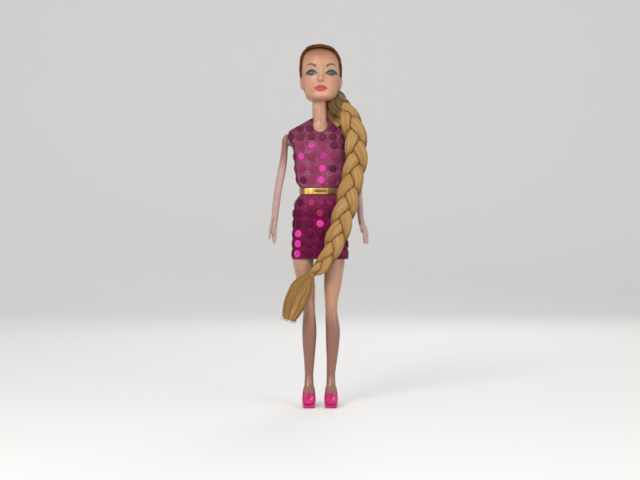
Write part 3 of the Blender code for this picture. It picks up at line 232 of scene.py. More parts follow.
def build(name, verts, faces, outward=True, **attributes):
    """A smooth mesh object. Its attribute rest says where each point lies at rest."""
    mesh = bpy.data.meshes.new(name)
    verts = np.asarray(verts, float) * MM
    mesh.from_pydata(verts.tolist(), [], faces)
    mesh.update()
    for key, values in {"rest": verts, **attributes}.items():
        add_attribute(mesh, key, values)
    if outward:
        face_outward(mesh)
    mesh.shade_smooth()
    return new_object(name, mesh)


def modifier(thing, kind, **settings):
    made = thing.modifiers.new(kind.lower(), kind)
    for key, value in settings.items():
        setattr(made, key, value)


def apply_modifiers(thing, sharp=None):
    """Works the modifiers into the mesh and smooths it, but for edges sharper than an angle."""
    bpy.context.view_layer.update()
    seen = bpy.context.evaluated_depsgraph_get()
    mesh = bpy.data.meshes.new_from_object(thing.evaluated_get(seen), depsgraph=seen)
    thing.modifiers.clear()
    thing.data = mesh
    if sharp is not None:
        mesh.shade_smooth()
        mesh.set_sharp_from_angle(angle=math.radians(sharp))


def prism(outline, axis, low, high):
    """A straight prism from a flat outline, along X or Y, to cut with."""
    verts = [(place, a, b) if axis == "X" else (a, place, b)
             for place in (low, high) for a, b in outline]
    count = len(outline)
    mesh = bpy.data.meshes.new("cutter")
    ends = [tuple(range(count)), tuple(range(2 * count - 1, count - 1, -1))]
    mesh.from_pydata((np.array(verts, float) * MM).tolist(), [], ends + grid_faces(2, count))
    face_outward(mesh)
    return new_object("cutter", mesh)


def cut_away(thing, cutters, sharp):
    for item in cutters:
        modifier(thing, "BOOLEAN", operation="DIFFERENCE", object=item)
    apply_modifiers(thing, sharp)
    for item in cutters:
        bpy.data.objects.remove(item)


# Shader helpers
def rgb(red, green, blue):
    """Linear colour of a display colour from 0 to 255."""
    def linear(value):
        value /= 255
        return value / 12.92 if value <= 0.04045 else ((value + 0.055) / 1.055) ** 2.4
    return (linear(red), linear(green), linear(blue), 1)


def feed(tree, socket, item):
    """Links an input to a value, or gives it a constant."""
    if isinstance(item, Value):
        tree.links.new(item.socket, socket)
    else:
        socket.default_value = item


def node_value(tree, kind, inputs, output=0, **settings):
    """The output of a new shader node with its settings and inputs."""
    node = tree.nodes.new("ShaderNode" + kind)
    for key, value in settings.items():
        setattr(node, key, value)
    for key, item in inputs.items():
        feed(tree, node.inputs[key], item)
    return Value(tree, node.outputs[output])


def math_node(operation):
    """A method that makes a node with this operation of the value and the others given."""
    def method(value, *others):
        return node_value(value.tree, "Math", dict(enumerate((value, *others))), operation=operation)
    return method


class Value:
    """A number in a shader, which adds and multiplies like any other."""

    def __init__(self, tree, socket):
        self.tree, self.socket = tree, socket

    __add__, __sub__, __mul__, __truediv__ = map(math_node, ("ADD", "SUBTRACT", "MULTIPLY", "DIVIDE"))
    __radd__, __rmul__ = __add__, __mul__
    power, least, most = map(math_node, ("POWER", "MINIMUM", "MAXIMUM"))
    size, sine = map(math_node, ("ABSOLUTE", "SINE"))

    def __rsub__(self, other):
        return (self * -1) + other

    def ramp(self, low, high):
        """Rises smoothly from 0 at low to 1 at high, or falls where low is the larger."""
        inputs = {0: self, 1: low, 2: high}
        return node_value(self.tree, "MapRange", inputs, interpolation_type="SMOOTHSTEP")


class Paint:
    """A new material, and short ways to make its nodes. Colours are display colours from 0 to 255."""

    def __init__(self, name, roughness, **constants):
        self.material = bpy.data.materials.new(name)
        self.material.use_nodes = True
        self.tree = self.material.node_tree
        self.shader = self.tree.nodes["Principled BSDF"]
        self.set(Roughness=roughness, **constants)

    def set(self, **values):
        """Sets or links the shader's inputs. A _ in a name stands for a space."""
        for key, value in values.items():
            feed(self.tree, self.shader.inputs[key.replace("_", " ")], value)

    def node(self, kind, inputs, output=0, **settings):
        return node_value(self.tree, kind, inputs, output, **settings)

    def attribute(self, name, output="Fac"):
        return self.node("Attribute", {}, output, attribute_name=name)

    def place(self, name="rest"):
        """The three coordinates of a point attribute, in millimetres."""
        split = self.node("SeparateXYZ", {0: self.attribute(name, "Vector")}).socket.node
        return [Value(self.tree, output) * (1 / MM) for output in split.outputs]

    def vector(self, x, y, z):
        return self.node("CombineXYZ", {0: x, 1: y, 2: z})

    def where(self, name="rest", stretch=1.0):
        """A point attribute as one vector, its third coordinate scaled."""
        x, y, z = self.place(name)
        return self.vector(x, y, z * stretch)

    def noise(self, where, scale, detail=3, rough=0.5):
        inputs = {"Vector": where, "Scale": scale, "Detail": detail, "Roughness": rough}
        return self.node("TexNoise", inputs, "Fac")

    def mix(self, low, high, share):
        """A colour between two."""
        low, high = [tone if isinstance(tone, Value) else rgb(*tone) for tone in (low, high)]
        return self.node("Mix", {0: share, 6: low, 7: high}, 2, data_type="RGBA", clamp_factor=True)

    def start(self, low, high, share):
        self.colour = self.mix(low, high, share)

    def over(self, tone, share):
        """Lays one more colour over those before it."""
        self.colour = self.mix(self.colour, tone, share)

    def finish(self, height, depth, **values):
        """The colour so far, the other inputs, and a relief as deep as given, in metres."""
        bump = self.node("Bump", {"Height": height, "Distance": depth})
        self.set(Base_Color=self.colour, Normal=bump, **values)
        return self


SKIN, SKIN_WARM = (198, 150, 121), (187, 134, 104)
SKIN_GRAIN = 0.03 * MM


def skin_paint(name, light, warm, shade=None, coat=0.0):
    """Vinyl skin with a soft sheen, faint mottling and a fine matt grain. A painted shade may darken it
    with height.
    """
    paint = Paint(name, 0.36, Subsurface_Weight=0.12, Subsurface_Scale=0.0015, Coat_Weight=coat,
                  Coat_Roughness=0.16)
    where = paint.where()
    paint.start(light, warm, paint.noise(where, 0.09, 2).ramp(0.35, 0.75))
    # a painted shade: the skin darker towards one end of a span of heights
    if shade:
        tone, start, end = shade
        paint.over(tone, paint.place()[2].ramp(start, end))
    return paint.finish(paint.noise(where, 2.5), SKIN_GRAIN,
                        Roughness=paint.noise(where, 0.5) * 0.16 + 0.28)


def face_paint():
    """The face's skin with painted brows, lids, eyes, lips and blush, and with painted shade and
    painted highlights on the forehead, the sides of the face, the nose, the chin, the eyes and the
    lips.
    """
    paint = Paint("face_vinyl", 0.4, Subsurface_Weight=0.12, Subsurface_Scale=0.0015)
    x, y, z = paint.place()
    where = paint.vector(x, y, z)
    front = y.ramp(-2.0, -5.0)
    nose, eyes, brows = x - NOSE_X, x - EYES_X, x - BROWS_X
    side = nose.size()

    def spot(line, cx, cz, wide, high, soft=0.5):
        dx, dz = (line - cx) / wide, (z - cz) / high
        return (dx * dx + dz * dz).ramp(1 + soft, 1 - soft)

    def facing(tone, share):
        paint.over(tone, share * front)

    paint.start(SKIN, SKIN_WARM, paint.noise(where, 0.09, 2).ramp(0.35, 0.75))
    # painted shade: the forehead darker towards the hairline
    paint.over((146, 88, 62), z.ramp(262.0, 275.0) * 0.8)
    # painted shade: the sides of the face darker in front of the ears, below the temples
    paint.over((178, 118, 96), side.ramp(10.5, 14.0) * z.ramp(266.0, 258.0) * 0.45)
    facing((214, 144, 114), spot(side, 8.6, 248.8, 4.4, 4.0, 0.95) * 0.45)
    # painted highlight on the chin
    facing((234, 166, 138), spot(nose, 0.4, 240.2, 6.6, 2.8, 0.95) * 0.5)
    # painted shade under the nose
    facing((174, 114, 90), spot(nose, 0.0, 249.4, 2.6, 0.8, 0.9) * 0.28)
    # painted shade down the nose's right side
    ridge = (nose - 2.3).size().ramp(1.2, 0.1) * (z - 257.5).size().ramp(7.0, 3.0)
    facing((168, 116, 84), ridge * 0.34)
    # painted highlights on the nose's tip and down its bridge
    facing((224, 178, 140), spot(nose, -0.1, 251.9, 1.1, 1.4, 0.9) * 0.6)
    facing((218, 168, 132), spot(nose, -0.1, 257.0, 0.7, 4.0, 0.9) * 0.3)

    # the eyes: u and v run across and up from the middle of each
    u, v = eyes.size() - 7.5, z - 256.3
    upper = 1.75 - u * u * 0.134
    lower = u * u * 0.098 - 1.75
    above, wide = v - upper, u.size()
    facing((188, 158, 140), above.ramp(0.2, 1.0) * above.ramp(4.4, 2.4) * wide.ramp(5.0, 3.0) * 0.75)
    facing((158, 118, 102), (above - 2.1).size().ramp(0.5, 0.08) * wide.ramp(4.2, 2.8) * 0.3)
    facing((98, 76, 70), (above - 0.7).size().ramp(0.9, 0.2) * wide.ramp(5.2, 4.0) * 0.55)
    inside = above.ramp(0.1, -0.1) * (v - lower).ramp(-0.1, 0.1)
    facing((122, 120, 115), inside)
    # painted shade in the corners of each eye
    facing((58, 48, 44), wide.ramp(1.9, 3.3) * inside * 0.85)
    far = (u * u + (v + 0.05) * (v + 0.05)).power(0.5)
    iris = paint.mix((36, 39, 37), (72, 80, 76), far.ramp(1.8, 1.1))
    iris = paint.mix(iris, (20, 20, 22), far.ramp(1.05, 0.8))
    facing(iris, far.ramp(2.1, 1.9) * inside)
    shine_u, shine_v = (eyes - 7.1).size().least((eyes + 7.9).size()), v - 0.35
    facing((176, 178, 172), (shine_u * shine_u + shine_v * shine_v).ramp(0.17, 0.05))
    lash = (above - (u.most(0) * 0.12 + 0.92)).ramp(0.2, -0.14) * above.ramp(-1.0, -0.45)
    facing((27, 20, 18), lash * u.ramp(4.8, 4.1) * u.ramp(-4.7, -4.0))
    facing((54, 44, 40), (v - lower).size().ramp(0.66, 0.2) * wide.ramp(4.6, 3.6) * 0.85)

    arch = brows.size()
    rise, fall = (arch - 8.6).least(0), (arch - 8.6).most(0)
    middle = 263.1 - rise * rise * 0.085 - fall * fall * 0.2
    half = 1.14 - (arch - 4.0).most(0) * 0.088
    brow = ((z - middle).size() / half).ramp(1.25, 0.6) * arch.ramp(3.5, 4.3) * arch.ramp(11.5, 10.4)
    hairs = paint.noise(paint.vector(x * 2.2, 0.0, z * 0.8 + arch), 1.6).ramp(0.3, 0.55)
    facing((100, 56, 32), brow * (hairs * 0.2 + 0.74))

    bow = nose / 0.9
    top = 247.0 - (side / 5.3).power(1.8) * 2.7 - (bow * bow).ramp(1.6, 0.0) * 0.35
    bottom = 242.3 + (side / 4.9).power(2.2) * 1.7
    lips = (z - top).ramp(0.22, -0.16) * (z - bottom).ramp(-0.22, 0.16) * side.ramp(5.4, 5.0)
    parting = z - (244.6 - (side / 5.2).power(2.0) * 0.4)
    lip = paint.mix((182, 64, 62), (172, 54, 54), parting.ramp(-0.5, 0.6))
    # painted highlight on the lower lip
    lip = paint.mix(lip, (220, 112, 106), spot(nose, 0.0, 244.5, 1.8, 0.8, 0.8) * 0.7)
    # painted shade in the parting between the lips and at the mouth's corners
    lip = paint.mix(lip, (140, 44, 42), parting.size().ramp(0.26, 0.06) * 0.5)
    lip = paint.mix(lip, (146, 50, 46), side.ramp(3.4, 5.0) * 0.6)
    facing(lip, lips)
    # painted shade in the nostrils
    facing((136, 82, 62), spot(side, 1.15, 250.2, 0.6, 0.34) * 0.35)
    return paint.finish(paint.noise(where, 2.5), SKIN_GRAIN, Roughness=0.42 - lips * front * 0.12)


def hair_paint(name, light, dark, deep, other=None, share=None):
    """Combed fibres: streaks along each lock, painted shade where locks meet and between their ridges,
    and a second colour by place.
    """
    paint = Paint(name, 0.42, Specular_IOR_Level=0.06)
    fibre = paint.where("fibre", 0.045)
    fine = paint.noise(fibre, 2.6, 5, 0.65)
    streak = (fine * 0.62 + paint.noise(fibre, 0.8, 2) * 0.38).ramp(0.34, 0.66)
    paint.start(dark, light, streak)
    if other:
        paint.over(paint.mix(other[1], other[0], streak), share(*paint.place()))
    # painted shade where locks meet and between their ridges
    paint.over(deep, paint.attribute("crease"))
    return paint.finish(fine, 0.00022, Roughness=fine * 0.2 + 0.42)


def plastic_paint(name, colour, second, roughness=0.4, metallic=0.0, grain=1.2):
    """Moulded plastic with slight colour variation and grain. Works in the row's frame."""
    paint = Paint(name, roughness, Metallic=metallic)
    place = paint.node("TexCoord", {}, "Object")
    where = paint.node("Mapping", {"Vector": place, "Scale": [1 / MM] * 3})
    paint.start(colour, second, paint.noise(where, 0.25, 2).ramp(0.3, 0.7))
    return paint.finish(paint.noise(where, grain * 2), 0.00002,
                        Roughness=paint.noise(where, grain) * 0.2 + (roughness - 0.1))


def dress_paint(name, base, second, thread, edge, high, high_from, high_to, glitter):
    """Fine net over a coloured ground, with painted shade at the dress's sides, and glitter in its
    threads.
    """
    paint = Paint(name, 0.42, Specular_IOR_Level=0.15)
    x, y, _ = paint.place("cloth")
    where = paint.vector(x, y, 0.0)
    paint.start(base, second, paint.noise(where, 0.22).ramp(0.3, 0.7))
    paint.over(high, y.ramp(high_from, high_to) * 0.8)
    cells = paint.node("TexVoronoi", {"Vector": where, "Scale": 0.62, "Randomness": 0.75}, "Distance",
                       feature="DISTANCE_TO_EDGE")
    lace = cells.ramp(0.12, 0.03)
    paint.over(thread, lace * paint.noise(where, 0.16, 2).ramp(0.42, 0.62) * 0.55)
    net = ((x * 7.0).sine() * (y * 7.0).sine()).size().ramp(0.42, 0.05)
    paint.over(thread, net * 0.22)
    fleck = paint.noise(where, 3.4, 2, 0.8).ramp(0.67, 0.75)
    paint.over(glitter, fleck * 0.5)
    # painted shade at the dress's sides, where the cloth turns away
    paint.over(edge, paint.attribute("side").ramp(0.86, 0.99) * 0.8)
    return paint.finish(net + lace * 0.8 + fleck * 0.5, 0.00012,
                        Metallic=fleck * 0.4, Roughness=0.55 - fleck * 0.2)


def sequin_paint():
    """Foil. Each sequin has its own colour with its painted light and shade, and the bright ones carry
    a painted glint through the crinkles.
    """
    paint = Paint("sequin_foil", 0.4, Metallic=0.2, Specular_IOR_Level=0.1)
    where = paint.where()
    crinkle = paint.noise(where, 0.9).ramp(0.38, 0.62)
    # the foil's colour with each sequin's painted light and shade
    paint.start(paint.attribute("foil", "Vector"), (70, 14, 44), crinkle * 0.22)
    # painted glint on the bright sequins, through the crinkles
    paint.over((248, 112, 200), paint.attribute("glow") * crinkle.ramp(0.3, 1.0) * 0.3)
    return paint.finish(paint.noise(where, 1.3, 2), 0.00006,
                        Roughness=paint.noise(where, 1.6) * 0.16 + 0.36)


def use(thing, paint):
    thing.data.materials.clear()
    thing.data.materials.append(paint.material)


# Camera, light and stage
def background_rays(tree):
    """1 for the rays that show the background, straight on, in gloss or through something clear."""
    camera, gloss, clear = [node_value(tree, "LightPath", {}, name) for name in
                            ("Is Camera Ray", "Is Glossy Ray", "Is Transmission Ray")]
    return camera.most(gloss).most(clear)


def make_stage():
    scene = bpy.context.scene
    camera = new_object("camera", bpy.data.cameras.new("camera"))
    camera.location = (0.0, -1.0, 0.1284)
    camera.rotation_euler = (math.pi / 2, 0, 0)
    camera.data.lens = 72.7
    camera.data.sensor_width = 36
    scene.camera = camera
    scene.view_settings.view_transform = "Standard"

    scene.world = bpy.data.worlds.new("studio")
    scene.world.use_nodes = True
    tree = scene.world.node_tree
    light_on_doll, light_seen = 0.46, 1.0
    strength = node_value(tree, "Mix", {0: background_rays(tree), 2: light_on_doll, 3: light_seen})
    for key, item in {"Color": (1, 1, 1, 1), "Strength": strength}.items():
        feed(tree, tree.nodes["Background"].inputs[key], item)

    middle = Vector((0, 0, 0.15))
    for name, place, size, power in (("key", (-0.45, -0.95, 0.75), 0.45, 7.1),
                                     ("fill", (0.75, -0.8, 0.35), 0.6, 3.0),
                                     ("back", (0.2, 0.9, 0.8), 0.5, 2.8)):
        lamp = new_object(name, bpy.data.lights.new(name, "AREA"))
        lamp.data.size = size
        lamp.data.energy = power
        lamp.location = place
        lamp.rotation_euler = (middle - Vector(place)).to_track_quat("-Z", "Y").to_euler()

    # the floor runs back and bends up into a wall
    reach, back, bend, turn = 3.0, 1.2, 0.5, np.arange(13) * math.pi / 24
    curve = zip(back + bend * np.sin(turn), bend * (1 - np.cos(turn)))
    outline = [(-reach, 0.0), *curve, (back + bend, reach)]
    mesh = bpy.data.meshes.new("floor")
    mesh.from_pydata([(x, y, z) for y, z in outline for x in (-reach, reach)], [],
                     [(2 * i, 2 * i + 1, 2 * i + 3, 2 * i + 2) for i in range(len(outline) - 1)])
    mesh.shade_smooth()
    floor = new_object("floor", mesh)
    paint = Paint("floor", 0.8)
    paint.set(Base_Color=rgb(231, 230, 228))
    shader = Value(paint.tree, paint.shader.outputs[0])
    glowing = paint.node("AddShader", {0: shader, 1: paint.node("Emission", {"Strength": 0.15})})
    seen = paint.node("MixShader", {0: background_rays(paint.tree), 1: shader, 2: glowing})
    feed(paint.tree, paint.tree.nodes["Material Output"].inputs["Surface"], seen)
    use(floor, paint)


# Head
HEAD_ROWS = [
    # z, half width, front, back, squareness
    (277.8, 2.9, 3.0, 3.4, 2.0),
    (276.55, 6.9, 7.5, 8.4, 2.0),
    (273.62, 10.6, 11.4, 12.5, 2.0),
    (269.02, 13.5, 14.1, 14.8, 2.1),
    (264.01, 14.4, 14.9, 15.6, 2.2),
    (258.15, 14.7, 14.4, 15.6, 2.3),
    (253.14, 14.5, 14.6, 14.8, 2.3),
    (248.12, 13.8, 14.7, 13.3, 2.3),
    (243.52, 12.9, 14.8, 11.2, 2.3),
    (239.76, 12.2, 14.4, 9.4, 2.2),
    (237.46, 10.9, 13.3, 8.1, 2.1),
    (236.0, 8.9, 10.9, 7.5, 2.0),
]
# the head leans a little: the middle of its section at each height, and of the painted features
HEAD_LEAN = [(236.0, 1.1), (243.0, 1.0), (250.0, 0.8), (260.0, 0.6), (270.0, 0.1), (280.0, -0.6)]
NOSE_X, EYES_X, BROWS_X = 0.6, 1.2, 0.9


def head_rows(extra, count):
    """Rows of the head's outline, grown by extra on all sides."""
    middle, half = 256.9, 20.9
    rows = []
    for z, wide, front, back, square in HEAD_ROWS:
        high = middle + (z - middle) * (1 + extra / half)
        lean = np.interp(z, *zip(*HEAD_LEAN))
        rows.append((lean, BODY_Y, high, wide + extra, front + extra, back + extra, square, 0))
    return dense(rows, count)


# how far behind the front the face's relief has faded away
FACE_FADE = 9.0
FACE_HILLS = [
    # place across, height, width, rise, forward
    (0.0, 257.0, 1.5, 4.6, 1.15),
    (0.0, 252.2, 1.8, 1.9, 2.45),
    (1.95, 251.2, 1.05, 1.0, 0.9),
    (0.0, 249.2, 2.4, 0.9, -0.25),
    (7.6, 257.0, 3.7, 2.8, -1.25),
    (7.6, 256.1, 3.0, 1.9, 0.75),
    (7.4, 262.4, 4.2, 1.5, 0.35),
    (8.8, 249.6, 4.4, 3.8, 0.45),
    (0.0, 248.0, 0.8, 1.0, -0.22),
    (1.6, 245.95, 2.4, 0.85, 0.6),
    (0.0, 243.5, 3.0, 1.0, 0.95),
    (0.0, 244.72, 4.4, 0.36, -0.5),
    (5.3, 244.5, 0.9, 0.8, -0.3),
    (0.0, 241.3, 3.2, 0.85, -0.42),
    (0.0, 238.7, 4.2, 2.2, 0.85),
]


def face_relief(x, z):
    """How far the face's hills stand forward at a place."""
    relief = np.zeros_like(x)
    for place, high, wide, rise, forward in FACE_HILLS:
        middle = EYES_X if 7.0 < place < 8.0 else NOSE_X
        far = ((np.abs(x - middle) - place) / wide) ** 2 + ((z - high) / rise) ** 2
        relief += forward * np.exp(-far)
    return relief


def make_head():
    rings = ring_points(head_rows(0, 150), angles_of(132, 0.24))
    facing = np.clip((BODY_Y - rings[..., 1]) / FACE_FADE, 0, 1)
    rings[..., 1] -= face_relief(rings[..., 0], rings[..., 2]) * facing
    head = build("head_skin", *tube(rings))
    use(head, face_paint())
    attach(head, "head")
    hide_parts("head_shell")


# outline of an ear: how far back and up from its middle
EAR_LINE = [(0.2, 3.9), (1.5, 3.6), (2.3, 2.2), (2.2, 0.4), (1.5, -1.4), (0.8, -3.0), (0.1, -3.6),
            (-0.5, -2.6), (-0.7, -0.8), (-0.8, 1.2), (-0.5, 3.0)]
# share of the outline and height above the head, from the outer foot over the rim to the bowl
EAR_PROFILE = [(1.0, -2.4), (1.06, -1.0), (1.06, 0.5), (0.97, 0.95), (0.86, 0.85), (0.76, 0.3),
               (0.6, 0.05), (0.4, 0.0), (0.18, 0.15)]
# the middle of an ear from the head's, its height, and how far it turns out towards the back
EAR_ACROSS, EAR_BACK, EAR_Z, EAR_TURN = 14.2, -0.6, 249.6, 0.62


def make_ear(side, name):
    """An ear: a curled rim round a shallow bowl, set on the side of the head."""
    loop = dense(EAR_LINE + EAR_LINE[:1], 45)[:-1]
    middle = np.array([0.6, 0.4])
    rings = []
    for share, out in EAR_PROFILE:
        back, up = (middle + (loop - middle) * share).T
        lean = EAR_ACROSS + out * np.clip(0.62 + 0.3 * back, 0.3, 1.0) + EAR_TURN * back
        rings.append(np.stack([0.8 + side * lean, BODY_Y + EAR_BACK + back, EAR_Z + up * 1.25], axis=1))
    ear = build(name + "_ear", *tube(np.array(rings)))
    use(ear, EAR_PAINT)
    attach(ear, "head")


# Hair
# the combed hair's auburn: partly its own colour at the roots, partly painted shade
ROOT_AND_SHADE_LIGHT, ROOT_AND_SHADE_DARK = (118, 66, 30), (64, 34, 14)
# the braid's gold; the last of the three is its painted shade where locks meet
GOLD_LIGHT, GOLD_DARK, GOLD_PAINTED_SHADE = (200, 160, 106), (158, 118, 67), (90, 60, 20)
# the gathered hair near the nape: partly its roots' darker colour, partly painted shade; the last of
# the three is its painted shade where locks meet
NAPE_ROOT_AND_SHADE_LIGHT, NAPE_ROOT_AND_SHADE_DARK, NAPE_PAINTED_SHADE = (128, 100, 62), (84, 60, 32), (46, 30, 12)
GATHER = np.array([9.0, BODY_Y + 13.5, 243.5])
HEAD_MIDDLE = np.array([0.6, BODY_Y + 0.5, 256.5])
HAIRLINE = [
    # height, then how far in front of the joint plane the hair reaches
    (240.0, -8.0), (244.0, -7.6), (248.0, -6.2), (251.0, -3.6), (254.0, -0.8), (256.0, 1.2),
    (258.5, 2.6), (263.0, 3.7), (268.0, 4.3), (271.5, 4.8), (273.6, 5.4), (274.8, 6.6), (275.4, 8.6),
    (276.0, 12.0), (282.0, 14.0),
]
# the hair's outer and inner face above the skull, and how far down it lies on it
HAIR_OUT, HAIR_IN, HAIR_LOW = 1.9, 0.15, 241.8
# waves of the hair's surface: how many go round, and their height
COMB_RIDGES = ((17, 0.1), (31, 0.08), (53, 0.06), (89, 0.045))
LOCK_RIDGES = ((7, 0.02), (13, 0.02), (23, 0.014), (37, 0.01))
GATHER_RIDGES = ((5, 0.05), (9, 0.04), (17, 0.03), (29, 0.018))
TAIL_RIDGES = ((9, 0.05), (15, 0.045), (27, 0.035), (41, 0.02))
WISP_RIDGES = ((1, 0.0),)


def waves(angle, ridges, source):
    """A sum of waves round an angle, each from its own start."""
    return sum(size * np.sin(frequency * angle + source.uniform(0, math.tau))
               for frequency, size in ridges)


def pole_places(points):
    """Azimuth and polar angle of points round the line from the head's middle to the gather, and
    their direction from the middle."""
    pole = unit(GATHER - HEAD_MIDDLE)
    first = unit(np.cross(pole, (0, 0, 1.0)))
    direction = unit(points - HEAD_MIDDLE)
    azimuth = np.arctan2(direction @ np.cross(pole, first), direction @ first)
    return azimuth, np.arccos(np.clip(direction @ pole, -1, 1)), direction


def crowned(grid, rise):
    """The rings of the cap with smaller ones on top, which close its crown."""
    shares = np.array([0.02, 0.3, 0.6, 0.82])[:, None, None]
    middle = grid[:1].mean(axis=1, keepdims=True)
    rings = middle + (grid[:1] - middle) * shares
    rings[..., 2] += rise * (1 - shares[..., 0] ** 2)
    return np.concatenate([rings, grid])


def cap_grid(extra, turn):
    """The skull grown by extra. Each row runs from the hairline round the back to the hairline."""
    table = head_rows(extra, 110)
    reach = smooth_curve(*zip(*HAIRLINE), table[:, 2])
    share = np.clip(np.abs(reach) / np.where(reach > 0, table[:, 4], table[:, 5]), 0, 1)
    edge = (np.sign(reach) * np.arcsin(share ** (table[:, 6] / 2)))[:, None]
    low, high = math.pi - edge, math.tau + edge
    return ring_points(table, low + (high - low) * turn)


def make_hair_cap():
    """Hair combed back over the skull, from the hairline to the gathering point."""
    turn = np.linspace(0, 1, 200)
    outer, inner = cap_grid(HAIR_OUT, turn), cap_grid(HAIR_IN, turn)
    keep = outer[:, 0, 2] > HAIR_LOW
    outer, inner = crowned(outer[keep], 0.26), crowned(inner[keep], 0.1)
    azimuth, polar, direction = pole_places(outer)
    wave = waves(azimuth, COMB_RIDGES, np.random.default_rng(3))
    # thin at the hairline and at the lower edge, whole where the two ends of a row meet
    meets = np.abs(outer[:, :1] - outer[:, -1:]).max(axis=2) < 0.2
    inland = np.maximum(np.clip(np.minimum(turn, 1 - turn) / 0.05, 0, 1), meets)
    thick = (np.sqrt(inland) * 0.9 + 0.1) * np.clip((outer[..., 2] - 241.0) / 3.0, 0.15, 1)
    outer = inner + (outer - inner) * thick[..., None] + direction * (wave * inland)[..., None]
    fibre = np.stack([np.cos(azimuth) * 26.0, np.sin(azimuth) * 26.0, polar * 15], axis=-1) * MM
    # painted shade in the troughs between the combed ridges
    crease = np.clip(-wave * 3.2, 0, 0.75)
    cap = build("combed_hair", *shell(outer, inner), fibre=np.tile(fibre.reshape(-1, 3), (2, 1)),
                crease=np.tile(crease.ravel(), 2))
    use(cap, ROOT_PAINT)
    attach(cap, "head")
    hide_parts("hair_cap")


def lock_tube(path, wide, deep, count, ridges, seed, frames=None):
    """A lock of hair along a path: rings of an oval with fine ridges, and for each point the place
    along its fibre and a painted shade by how deep it lies between ridges."""
    _, side, outward = frames or path_frames(path)
    angle = angles_of(count)
    source = np.random.default_rng(seed)
    ridge = waves(angle, ridges, source)
    shift = source.uniform(0, 80)
    far = far_along(path)[:, None]
    fibre = np.broadcast_arrays(np.cos(angle) * 5.5 + shift, np.sin(angle) * 5.5, far + shift)
    # painted shade in the troughs between the ridges
    crease = np.tile(np.clip(-ridge * 7, 0, 0.5), (len(path), 1))
    rings = swept(path, side, outward, wide, deep, count, 1 + ridge)
    return rings, np.stack(fibre, axis=2) * MM, crease


def lock_mesh(name, rings, fibre, crease, paint):
    lock = build(name, *tube(rings), fibre=with_ends(fibre), crease=with_ends(crease))
    use(lock, paint)
    return lock


def braid_place(reach, depth, fall):
    return (reach * 29.0 - 0.5, BODY_Y - depth * 18.0, 237.7 - fall * 128.2)


BRAID_LINE = [
    (0.6, 0.42, 0.064), (0.772, 0.63, 0.114), (0.897, 0.79, 0.184), (0.955, 0.84, 0.25),
    (0.979, 0.83, 0.34), (0.945, 0.86, 0.41), (0.84, 0.94, 0.51), (0.735, 1.0, 0.62),
    (0.632, 1.04, 0.71), (0.516, 1.05, 0.8), (0.382, 1.04, 0.88), (0.232, 0.99, 0.95),
    (0.055, 0.93, 1.005), (-0.159, 0.86, 1.048),
]
BRAID_SCALE = [(0.0, 0.72), (0.1, 0.95), (0.2, 1.02), (0.74, 1.0), (0.87, 0.76), (0.95, 0.66),
               (1.0, 0.34)]


def touching(rings, line, frames, wide, deep):
    """1 where the points of one lock lie on another lock, falling to 0 a little way off it."""
    rows, near, contact, fade = len(line), 18, 1.02, 0.2
    nearest = np.full(rings.shape[:2], np.inf)
    for offset in range(-near, near + 1):
        index = np.clip(np.arange(rows) + offset, 0, rows - 1)
        away = rings - line[index][:, None, :]
        along, across, out = [np.einsum("rnk,rk->rn", away, axis[index]) for axis in frames]
        wide_here, deep_here = wide[index][:, None], deep[index][:, None]
        far = (across / wide_here) ** 2 + (out / deep_here) ** 2 + (along / deep_here) ** 2
        nearest = np.minimum(nearest, far)
    return np.clip(1 - (np.sqrt(nearest) - contact) / fade, 0, 1)


def make_braid():
    """The three locks of the braid. Gives back its middle line and the directions along it."""
    path, length = even_path([braid_place(*row) for row in BRAID_LINE], 260)
    frames = path_frames(path)
    _, side, outward = frames
    share = np.linspace(0, 1, len(path))
    scale = smooth_curve(*zip(*BRAID_SCALE), share)
    period, phase, spread, lift, lock_wide, lock_deep = 53.6, 4.6, 4.7, 3.7, 4.3, 3.1
    strands = []
    for strand in range(3):
        turn = math.tau * ((share * length - phase) / period + strand / 3)
        line = path + side * (spread * scale * np.sin(turn))[:, None]
        line += outward * (lift * scale * np.sin(2 * turn))[:, None]
        swell = scale * (1 + 0.06 * np.cos(2 * turn))
        strands.append((line, path_frames(line), lock_wide * swell, lock_deep * swell))
    for strand, (line, own, wide, deep) in enumerate(strands):
        rings, fibre, crease = lock_tube(line, wide, deep, 72, LOCK_RIDGES, 11 + strand, own)
        # painted shade where the lock dives behind the others, and in a thin line where it touches them
        depth = np.einsum("rnk,rk->rn", rings - path[:, None, :], outward)
        dark = np.clip(0.4 - depth / (5.0 * scale[:, None]), 0, 1) * 0.8
        for other in (strands[strand - 1], strands[strand - 2]):
            dark = np.maximum(dark, touching(rings, *other))
        crease = np.clip(crease + dark, 0, 0.95)
        lock = lock_mesh("braid_lock_%d" % (strand + 1), rings, fibre, crease, BRAID_PAINT)
        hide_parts("braid_strand_%d" % (strand + 1))
        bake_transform(lock)
    return path, frames


